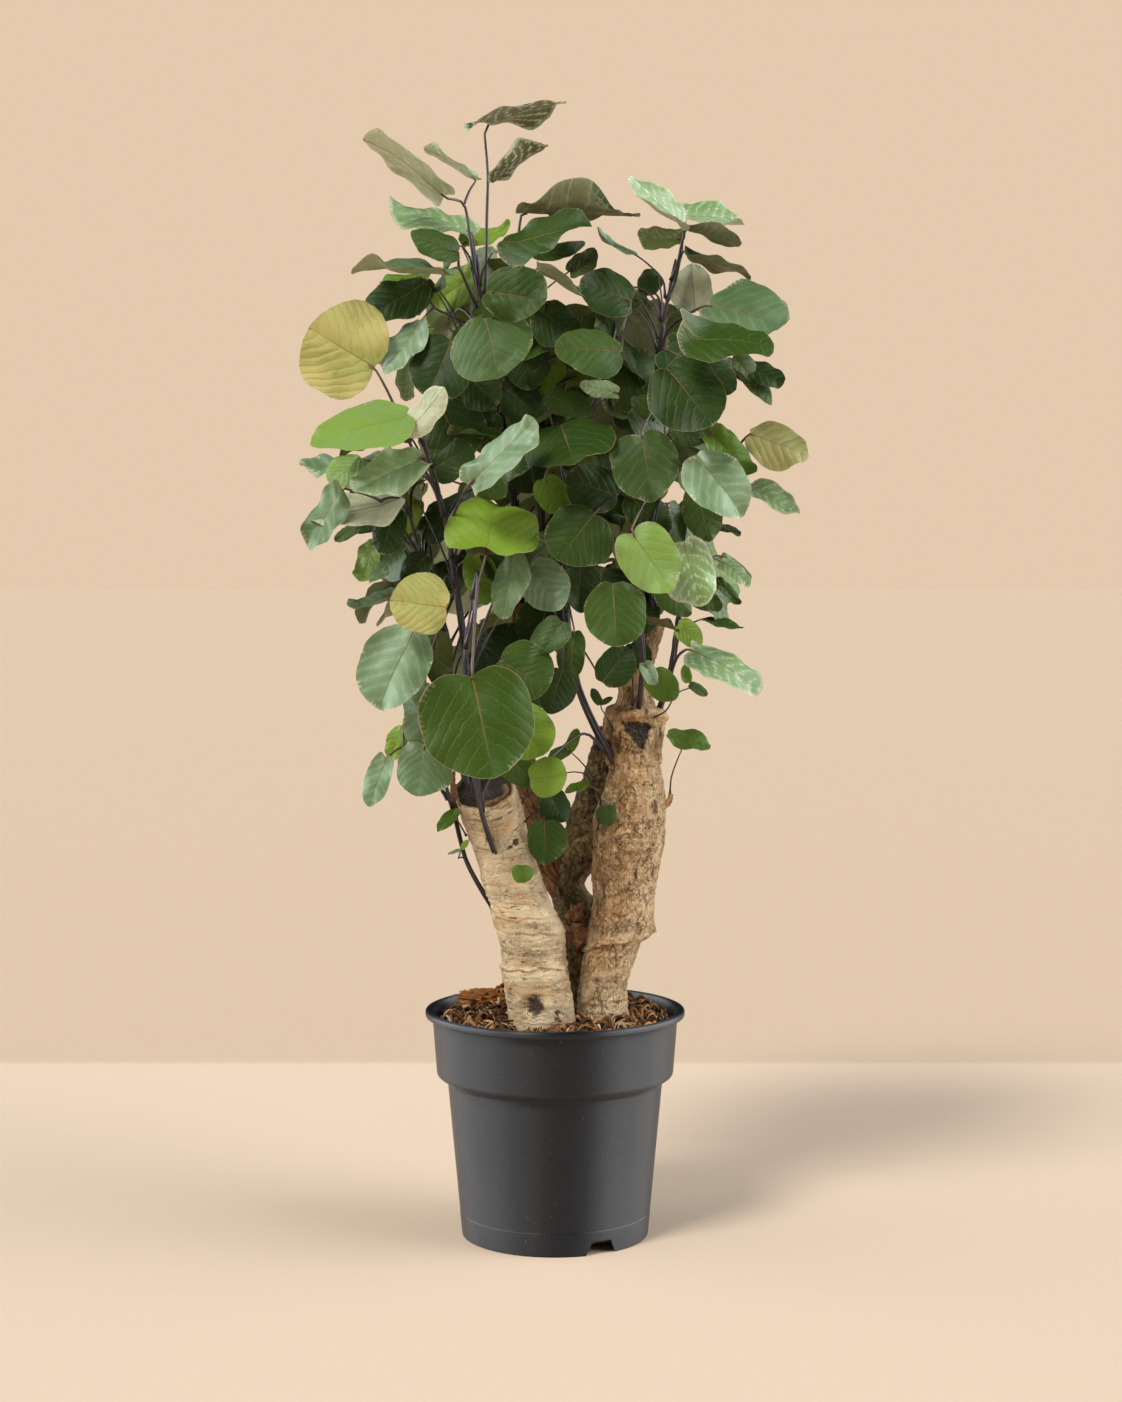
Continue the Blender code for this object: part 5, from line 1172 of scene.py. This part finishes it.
# The pot, turned from one outline. The foot band is rows of height, dip and rounding; lengths are in metres.
potShape = {
    "height": 0.210, "rim": 0.120, "collarTop": 0.1135, "collarLow": 0.1094, "collarLowHeight": 0.1520,
    "bodyTop": 0.0995, "bodyTopHeight": 0.1430, "foot": 0.0865, "footRing": 0.003, "footBand": (
        (0.0160, 0.0, 0.0002), (0.0214, 0.0, 0.0004), (0.0220, 0.00035, 0.0004), (0.0300, 0.0002, 0.0002)),
    "lip": 0.0062, "wall": 0.0018, "floor": 0.010, "sides": 168, "roundSteps": 5, "sharpFrom": 38,
    "notchAngles": (-61, 59, 179), "notch": (0.030, 0.019, 0.013), "holes": 6, "holeRadius": 0.0065,
    "holeCircle": 0.055,
}
potFinish = {
    "deepBlack": (0.0030, 0.0050, 0.0095), "paleBlack": (0.0055, 0.0085, 0.0140),
    "dust": (0.060, 0.060, 0.062), "scratch": (0.100, 0.105, 0.115), "speck": (0.420, 0.400, 0.370),
}


def bodyRadius(height):
    return potShape["foot"] + (potShape["bodyTop"] - potShape["foot"]) * height / potShape["bodyTopHeight"]


def rounded(before, corner, after):  # points that round a corner of the outline
    radius, steps = corner[2], potShape["roundSteps"]
    before, corner, after = Vector(before[:2]), Vector(corner[:2]), Vector(after[:2])
    start = corner + (before - corner).normalized() * radius
    end = corner + (after - corner).normalized() * radius
    return [tuple(start * (1 - t) ** 2 + corner * 2 * t * (1 - t) + end * t * t)
            for t in (step / steps for step in range(steps + 1))]


def potOutline():
    p = potShape
    lipLow = p["height"] - p["lip"]
    corners = (  # radius, height and rounding
        (p["foot"] - p["footRing"], 0.0, 0.0), (p["foot"], 0.0, 0.0008),
        *((bodyRadius(height) - dip, height, radius) for height, dip, radius in p["footBand"]),
        (p["bodyTop"], p["bodyTopHeight"], 0.0012),
        (p["bodyTop"] + 0.003, p["bodyTopHeight"] + 0.0022, 0.0014),
        (p["collarLow"], p["collarLowHeight"] - 0.0022, 0.0026), (p["collarTop"], lipLow, 0.0010),
        (p["rim"], lipLow - 0.0002, 0.0022), (p["rim"], p["height"] - 0.0002, 0.0024),
        (p["collarTop"] - 0.0004, p["height"] - 0.0002, 0.0024), (p["collarTop"] - p["wall"], lipLow, 0.0012),
        (p["collarLow"] - p["wall"], p["collarLowHeight"] + 0.003, 0.0030),
        (p["bodyTop"] - p["wall"], p["bodyTopHeight"] + 0.001, 0.0030),
        (bodyRadius(p["floor"]) - p["wall"], p["floor"], 0.0020), (0.0, p["floor"], 0.0),
    )
    under = p["floor"] - p["wall"]
    outline = [(0.0, under), (p["foot"] - p["footRing"], under), corners[0][:2]]
    for before, corner, after in zip(corners, corners[1:], corners[2:]):
        outline += rounded(before, corner, after)
    return outline + [corners[-1][:2]]


def turned(outline, sides):
    bm = bmesh.new()
    verts = [bm.verts.new((radius, 0, height)) for radius, height in outline]
    edges = [bm.edges.new(pair) for pair in zip(verts, verts[1:])]
    bmesh.ops.spin(bm, geom=verts + edges, cent=(0, 0, 0), axis=(0, 0, 1), angle=2 * math.pi, steps=sides,
                   use_merge=True)
    bmesh.ops.remove_doubles(bm, verts=bm.verts, dist=1e-6)
    bmesh.ops.recalc_face_normals(bm, faces=bm.faces)
    if bm.calc_volume(signed=True) < 0:
        bmesh.ops.reverse_faces(bm, faces=bm.faces)
    return bm


def cutOut(piece, bm):
    cutter = makeObject("cutter", bm)
    modifier = piece.modifiers.new("cut", "BOOLEAN")
    modifier.operation = "DIFFERENCE"
    modifier.solver = "EXACT"
    modifier.object = cutter
    bpy.context.view_layer.update()
    cutMesh = bpy.data.meshes.new_from_object(piece.evaluated_get(bpy.context.evaluated_depsgraph_get()))
    piece.modifiers.clear()
    piece.data = cutMesh
    bpy.data.objects.remove(cutter)


def potSkin():
    finish = Finish("potPlastic", potFinish, 0.45, Specular_IOR_Level=0.50, Anisotropic=0.85,
                    Anisotropic_Rotation=0.25)
    at = finish.place()
    height = finish.split("SeparateXYZ", at)[2]
    cloud = finish.noise(at, 14.0, 4.0)
    fine = finish.noise(at, 420.0, 4.0, 0.7)
    scratches = finish.noise(finish.stretched(at, (1, 1, 0.10)), 380.0, 3.0, 0.6)
    specks = finish.noise(at, 900.0, 2.0, 0.5).ramp(0.735, 0.76)
    dust = (finish.noise(at, 60.0, 5.0, 0.65).ramp(0.50, 0.78)
            * ((0.05 - height).ramp(0.0, 0.06) * 0.7 + (height - 0.15).ramp(0.0, 0.06) * 0.5 + 0.15))
    finish.colour(finish.coats(
        "deepBlack", (cloud.ramp(0.3, 0.7), "paleBlack"), (dust * 0.22, "dust"),
        (scratches.ramp(0.66, 0.74) * 0.10, "scratch"), (specks * 0.6, "speck")))
    finish.rough(0.40 + 0.08 * fine + 0.12 * dust + 0.05 * cloud)
    finish.bump(fine * 0.3 + scratches.ramp(0.55, 0.8) * 0.25, 0.00035, 0.5)
    return finish


def makePot():
    pot = addPiece("nurseryPot", turned(potOutline(), potShape["sides"]), [potSkin()], ["pot"])
    low, high, tall = potShape["notch"]
    for degrees in potShape["notchAngles"]:
        bm = bmesh.new()
        bmesh.ops.create_cube(bm, size=1.0)
        for vert in bm.verts:
            raised = vert.co.z > 0
            vert.co.y *= high if raised else low + 0.004
            vert.co.z = tall if raised else -0.004
            vert.co.x = potShape["foot"] + 0.02 * vert.co.x
        top = [edge for edge in bm.edges if all(vert.co.z > 0 for vert in edge.verts)
               and abs(edge.verts[0].co.x - edge.verts[1].co.x) > 0.01]
        bmesh.ops.bevel(bm, geom=top, offset=0.002, segments=4, affect="EDGES", profile=0.5)
        turn = Matrix.Rotation(math.radians(degrees), 3, "Z")
        bmesh.ops.rotate(bm, verts=bm.verts, cent=(0, 0, 0), matrix=turn)
        cutOut(pot, bm)
    for index in range(potShape["holes"]):
        angle = math.radians(potShape["notchAngles"][0]) + 2 * math.pi * (index + 0.5) / potShape["holes"]
        spot = Vector((math.cos(angle), math.sin(angle), 0)) * potShape["holeCircle"]
        bm = bmesh.new()
        bmesh.ops.create_cone(bm, cap_ends=True, segments=28, radius1=potShape["holeRadius"],
                              radius2=potShape["holeRadius"], depth=0.012,
                              matrix=Matrix.Translation(spot + Vector((0, 0, potShape["floor"]))))
        cutOut(pot, bm)
    pot.data.shade_smooth()
    pot.data.set_sharp_from_angle(angle=math.radians(potShape["sharpFrom"]))
    bpy.context.view_layer.update()


makePot()
print("pot done")

# The soil: a rough bed with chips of bark, curled shavings, fibres, grains of perlite and a lump of coir.
soilShape = {
    "edge": 0.1975, "mound": 0.006, "reach": 0.1106, "sides": 260, "spans": 120, "heap": (-0.048, 0.052),
    "heapHeight": 0.0130, "heapReach": 0.026,
}
soilFinish = {
    "bedDark": (0.014, 0.008, 0.005), "bedBrown": (0.170, 0.090, 0.045), "bedWarm": (0.280, 0.145, 0.068),
    "bitShadow": (0.050, 0.024, 0.012), "grain": (0.86, 0.84, 0.79), "fibrePale": (0.68, 0.48, 0.28),
    "fibreBrown": (0.36, 0.18, 0.08), "lump": (0.470, 0.190, 0.052), "lumpDark": (0.130, 0.050, 0.016),
    "coirs": ((0.480, 0.195, 0.055), (0.560, 0.270, 0.095), (0.380, 0.145, 0.040)),
    "browns": ((0.190, 0.090, 0.038), (0.110, 0.054, 0.024), (0.080, 0.042, 0.021), (0.045, 0.024, 0.013),
               (0.030, 0.017, 0.010), (0.340, 0.200, 0.100), (0.060, 0.032, 0.016)),
    "tans": ((0.600, 0.330, 0.150), (0.760, 0.540, 0.340), (0.400, 0.190, 0.078), (0.240, 0.110, 0.046),
             (0.110, 0.054, 0.025), (0.480, 0.230, 0.085), (0.070, 0.036, 0.018), (0.160, 0.078, 0.034)),
}


def heapShare(x, y):  # 1 on the heap of coir at the back left, 0 away from it
    middle = soilShape["heap"]
    return math.exp(-(math.hypot(x - middle[0], y - middle[1]) / soilShape["heapReach"]) ** 2)


def soilTop(x, y):
    share = math.hypot(x, y) / potShape["collarTop"]
    place = Vector((x, y, 0))
    smooth = soilShape["edge"] + soilShape["mound"] * (1 - share ** 2) + 0.0022 * noise.noise(place * 40)
    smooth += soilShape["heapHeight"] * heapShare(x, y)
    crumbs = noise.voronoi(place * 260 + noise.noise_vector(place * 190) * 0.6)[0]
    rough = 0.0022 * noise.noise(place * 95) + 0.0022 * (0.5 - crumbs[0]) + 0.0008 * noise.noise(place * 700)
    atWall = 0.0035 * smoothStep(share, 0.80, 0.96) * noise.noise(place * 33 + Vector((3, 1, 7)))
    return smooth + rough + atWall


def soilSkin():
    finish = Finish("soilBed", soilFinish, 0.95, Specular_IOR_Level=0.10)
    at = finish.place()
    fine = finish.noise(at, 520.0, 5.0, 0.7)
    patches = finish.noise(at, 75.0, 4.0, 0.6)
    finish.colour(finish.coats(
        "bedDark", (fine.ramp(0.38, 0.66), "bedBrown"), (patches.ramp(0.56, 0.72) * 0.5, "bedWarm")))
    finish.bump(fine, 0.0022)
    return finish


def bitSkin():
    finish = Finish("soilBits", soilFinish, 0.85, Specular_IOR_Level=0.15)
    tone = finish.painted("bitTone")
    grain = finish.noise(finish.place(), 700.0, 4.0, 0.7)
    finish.colour(finish.blend(grain.ramp(0.3, 0.75) * 0.5, tone, "bitShadow", "MULTIPLY"))
    finish.bump(grain, 0.0009, 0.8)
    return finish


def clearOfStumps(x, y, gap):
    for name in ("left", "right", "rear"):
        row = stumps[name]["rows"][1]
        if math.hypot(x - row[0] * cm, y - row[1] * cm) < row[3] * cm * 0.98 + gap:
            return False
    return True


def scatter(chance, reach, gap):
    while True:
        angle = chance.uniform(0, 2 * math.pi)
        radius = soilShape["reach"] * reach * math.sqrt(chance.random())
        x, y = radius * math.cos(angle), radius * math.sin(angle)
        if clearOfStumps(x, y, gap):
            return x, y


def makeSoil():
    bm = unitTube(soilShape["sides"], soilShape["spans"])
    for vert in bm.verts:
        angle = math.atan2(vert.co.y, vert.co.x)
        share = vert.co.z
        if share < 0.1:  # the side, down to the floor of the pot
            radius = soilShape["reach"] - 0.0245 * (1 - share * 10)
            height = potShape["floor"] + 0.0005 + (soilShape["edge"] - 0.05 - potShape["floor"]) * share * 10
            radius = min(radius, bodyRadius(height) - 0.0024)
            vert.co = (radius * math.cos(angle), radius * math.sin(angle), height)
        else:
            radius = soilShape["reach"] * max(1 - (share - 0.1) / 0.9, 0.001)
            x, y = radius * math.cos(angle), radius * math.sin(angle)
            vert.co = (x, y, soilTop(x, y))
    addPiece("soilBed", bm, [soilSkin()], ["soil"])


def bitTone(chance, x, y, usual):
    heaped = chance.random() < 0.9 * heapShare(x, y)
    shade = chance.choice(soilFinish["coirs" if heaped else usual])
    gain = chance.uniform(0.65, 1.25)
    return [value * gain for value in shade]


def addStrand(bm, points, sides, spans, shade, reach):
    strand = unitTube(sides, spans)
    paint(strand, "bitTone", shade)
    layAlong(strand, smoothPath(points, spans), reach)
    joinInto(bm, strand)


chips = {"seed": 5, "count": 1800, "long": (0.002, 0.0070), "wide": (0.2, 0.55), "thick": (0.0005, 0.0013)}


def makeChips():
    chance = random.Random(chips["seed"])
    bm = bmesh.new()
    tone = bm.verts.layers.float_color.new("bitTone")
    for _ in range(chips["count"]):
        x, y = scatter(chance, 0.985, 0.001)
        heaped = heapShare(x, y)
        long = chance.uniform(*chips["long"]) * (1 + 0.9 * heaped * chance.random())
        wide = long * chance.uniform(*chips["wide"])
        thick = chance.uniform(*chips["thick"]) * (1 + heaped)
        made = bmesh.ops.create_cube(bm, size=1.0)["verts"]
        turn = Matrix.Rotation(chance.uniform(0, 6.3), 3, "Z") @ Matrix.Rotation(chance.gauss(0, 0.5), 3, "X")
        turn = turn @ Matrix.Rotation(chance.gauss(0, 0.45), 3, "Y")
        spot = Vector((x, y, soilTop(x, y) + thick * 0.8 + chance.uniform(0, 0.0014)))
        shade = bitTone(chance, x, y, "browns")
        for vert in made:
            pinch = chance.uniform(0.45, 1.0)
            vert.co = spot + turn @ Vector((
                vert.co.x * long * chance.uniform(0.75, 1.0), vert.co.y * wide * pinch,
                vert.co.z * thick * chance.uniform(0.5, 1.2)))
            vert[tone] = (*shade, 1)
    addPiece("barkChips", bm, [bitFinish])


# Curled flakes of bark and coir that lie on the soil.
shavings = {
    "seed": 21, "count": 520, "long": (0.008, 0.026), "half": (0.0008, 0.0028), "rise": (0.0012, 0.0085),
}


def makeShavings():
    chance = random.Random(shavings["seed"])
    bm = bmesh.new()
    for _ in range(shavings["count"]):
        x, y = scatter(chance, 0.97, 0.002)
        long, half = chance.uniform(*shavings["long"]), chance.uniform(*shavings["half"])
        heading, curl = chance.uniform(0, 6.3), chance.gauss(0, 0.9)
        shade = bitTone(chance, x, y, "tans")
        rise, dip = chance.uniform(*shavings["rise"]), chance.uniform(-1, 1)
        points = []
        for step in range(5):
            share = step / 4
            heading += curl / 4
            bend = rise * math.sin(math.pi * share) + 0.004 * max(dip, 0) * share
            points.append(Vector((x, y, soilTop(x, y) + 0.0008 + bend)))
            x += math.cos(heading) * long / 4
            y += math.sin(heading) * long / 4
            if math.hypot(x, y) > soilShape["reach"] * 0.985:
                break
        if len(points) < 4:
            continue

        def reach(share, angle):  # flat, and slimmer towards its ends
            across = half if abs(math.cos(angle)) > 0.5 else 0.0004
            return across * (0.35 + 0.65 * math.sin(math.pi * min(0.1 + share, 1.0)))
        addStrand(bm, points, 4, 8, shade, reach)
    addPiece("coirShavings", bm, [bitFinish])


grains = {"seed": 8, "count": 55, "size": (0.0007, 0.0021)}


def makeGrains():
    chance = random.Random(grains["seed"])
    bm = bmesh.new()
    for _ in range(grains["count"]):
        x, y = scatter(chance, 0.97, 0.001)
        size = chance.uniform(*grains["size"])
        spot = Vector((x, y, soilTop(x, y) + size * 0.6))
        for vert in bmesh.ops.create_icosphere(bm, subdivisions=1, radius=size)["verts"]:
            vert.co = vert.co * chance.uniform(0.75, 1.15) + spot
    paint(bm, "bitTone", soilFinish["grain"])
    addPiece("perliteGrains", bm, [bitFinish])


fibres = {"seed": 13, "count": 300, "long": (0.008, 0.030), "radius": (0.00018, 0.00042), "paleShare": 0.45}


def makeFibres():
    chance = random.Random(fibres["seed"])
    bm = bmesh.new()
    for _ in range(fibres["count"]):
        x, y = scatter(chance, 1.0, 0.0)
        long = chance.uniform(*fibres["long"])
        heading = chance.uniform(0, 6.3)
        radius = chance.uniform(*fibres["radius"])
        shade = soilFinish["fibrePale" if chance.random() < fibres["paleShare"] else "fibreBrown"]
        points = []
        for step in range(5):
            spot = Vector((x, y, 0))
            outward = math.hypot(x, y)
            if outward > soilShape["reach"] and chance.random() < 0.85:
                spot *= soilShape["reach"] / outward
                x, y = spot.x, spot.y
            spot.z = soilTop(x, y) + 0.0010 + chance.uniform(0, 0.0038)
            points.append(spot)
            heading += chance.gauss(0, 0.8)
            x += math.cos(heading) * long / 4
            y += math.sin(heading) * long / 4
        addStrand(bm, points, 3, 10, shade, lambda share, angle: radius * (1 - 0.6 * share))
    addPiece("soilFibres", bm, [bitFinish])


# The lump of orange coir fibre that stands up at the back left.
coir = {"place": (-0.063, 0.046, 0.2095), "size": (0.0250, 0.015, 0.0085), "ragged": 0.46, "fibrous": 0.26}


def makeCoir():
    lump = bmesh.new()
    tone = lump.verts.layers.float_color.new("bitTone")
    bmesh.ops.create_icosphere(lump, subdivisions=5, radius=1.0)
    pale, dark = Vector(soilFinish["lump"]), Vector(soilFinish["lumpDark"])
    for vert in lump.verts:
        stringy = noise.noise(Vector((vert.co.x * 5, vert.co.y * 5, vert.co.z * 26)))
        ragged = 1 + coir["ragged"] * noise.fractal(vert.co * 2.6, 1.0, 2.0, 5) + coir["fibrous"] * stringy
        vert[tone] = (*pale.lerp(dark, max(0.0, min(1.0, 0.45 - 0.9 * stringy))), 1)
        vert.co = Vector([axis * length for axis, length in zip(vert.co, coir["size"])]) * ragged
        vert.co += Vector(coir["place"])
    addPiece("coirLump", lump, [bitFinish])


bitFinish = bitSkin()
makeSoil()
makeCoir()
makeChips()
makeShavings()
makeGrains()
makeFibres()
print("soil done")

# The room: a plain pale floor with a far tone further back, soft lights and the camera.
studio = {
    "floor": (0.745, 0.598, 0.458), "farFloor": (0.638, 0.494, 0.358), "wall": (0.775, 0.592, 0.422),
    "floorSize": 60.0, "floorDepth": 0.74, "glow": (0.95, 0.97, 1.0), "light": (0.20, 1.70),
    "shine": (0.02, 7.50), "lens": 61.5, "pitch": -3.26,
}
lamps = {  # strength, softness in degrees, where from, and colour
    "sun": (2.15, 18, (-0.55, -0.75, 1.05), (1.0, 0.96, 0.90)),
    "fill": (1.20, 45, (0.95, -0.30, 0.70), (1.0, 0.98, 0.96)),
}


def makeFloor():
    bm = bmesh.new()
    bmesh.ops.create_grid(bm, x_segments=1, y_segments=1, size=studio["floorSize"])
    floor = makeObject("floor", bm)
    paper = Finish("paper", studio, 0.9, Specular_IOR_Level=0.2)
    far = paper.split("SeparateXYZ", paper.place())[1].ramp(studio["floorDepth"], studio["floorDepth"] + 0.03)
    paper.colour(paper.blend(far, "floor", "farFloor"))
    floor.data.materials.append(paper.material)


def makeWorld():
    world = bpy.data.worlds.new("studio")
    bpy.context.scene.world = world
    world.use_nodes = True
    sky = Nodes(world.node_tree)
    aside = abs(sky.split("SeparateXYZ", sky.node("TexCoord", out="Generated"))[0])

    def background(colour, strength):
        return sky.node("Background", inputs={"Color": (*studio[colour], 1.0), "Strength": strength})

    def softBoxes(front, sides):  # a bright soft box at each side, dim in front and behind
        return background("glow", aside.ramp(0.50, 0.95, front, sides))

    def choose(kind, usual, special):  # one background for most rays, another for this kind
        return sky.node("MixShader", inputs={0: sky.node("LightPath", out=kind), 1: usual, 2: special})
    lit = choose("Is Glossy Ray", softBoxes(*studio["light"]), softBoxes(*studio["shine"]))
    sky.feed(sky.tree.nodes["World Output"].inputs[0], choose("Is Camera Ray", lit, background("wall", 1.0)))


def addToRoom(name, data, location, turn):
    made = bpy.data.objects.new(name, data)
    made.location = location
    made.rotation_euler = turn
    bpy.context.scene.collection.objects.link(made)
    return made


makeFloor()
makeWorld()
for name, (strength, softness, comesFrom, colour) in lamps.items():
    lamp = bpy.data.lights.new(name, "SUN")
    lamp.energy = strength
    lamp.angle = math.radians(softness)
    lamp.color = colour
    addToRoom(name, lamp, (0, 0, 0), (-Vector(comesFrom)).to_track_quat("-Z", "Y").to_euler())
view = bpy.data.cameras.new("camera")
view.lens = studio["lens"]
bpy.context.scene.camera = addToRoom("camera", view, (viewer["aside"], -viewer["distance"], viewer["height"]),
                                     (math.radians(90 + studio["pitch"]), 0, 0))
bpy.context.scene.view_settings.view_transform = "Standard"
print("studio done")
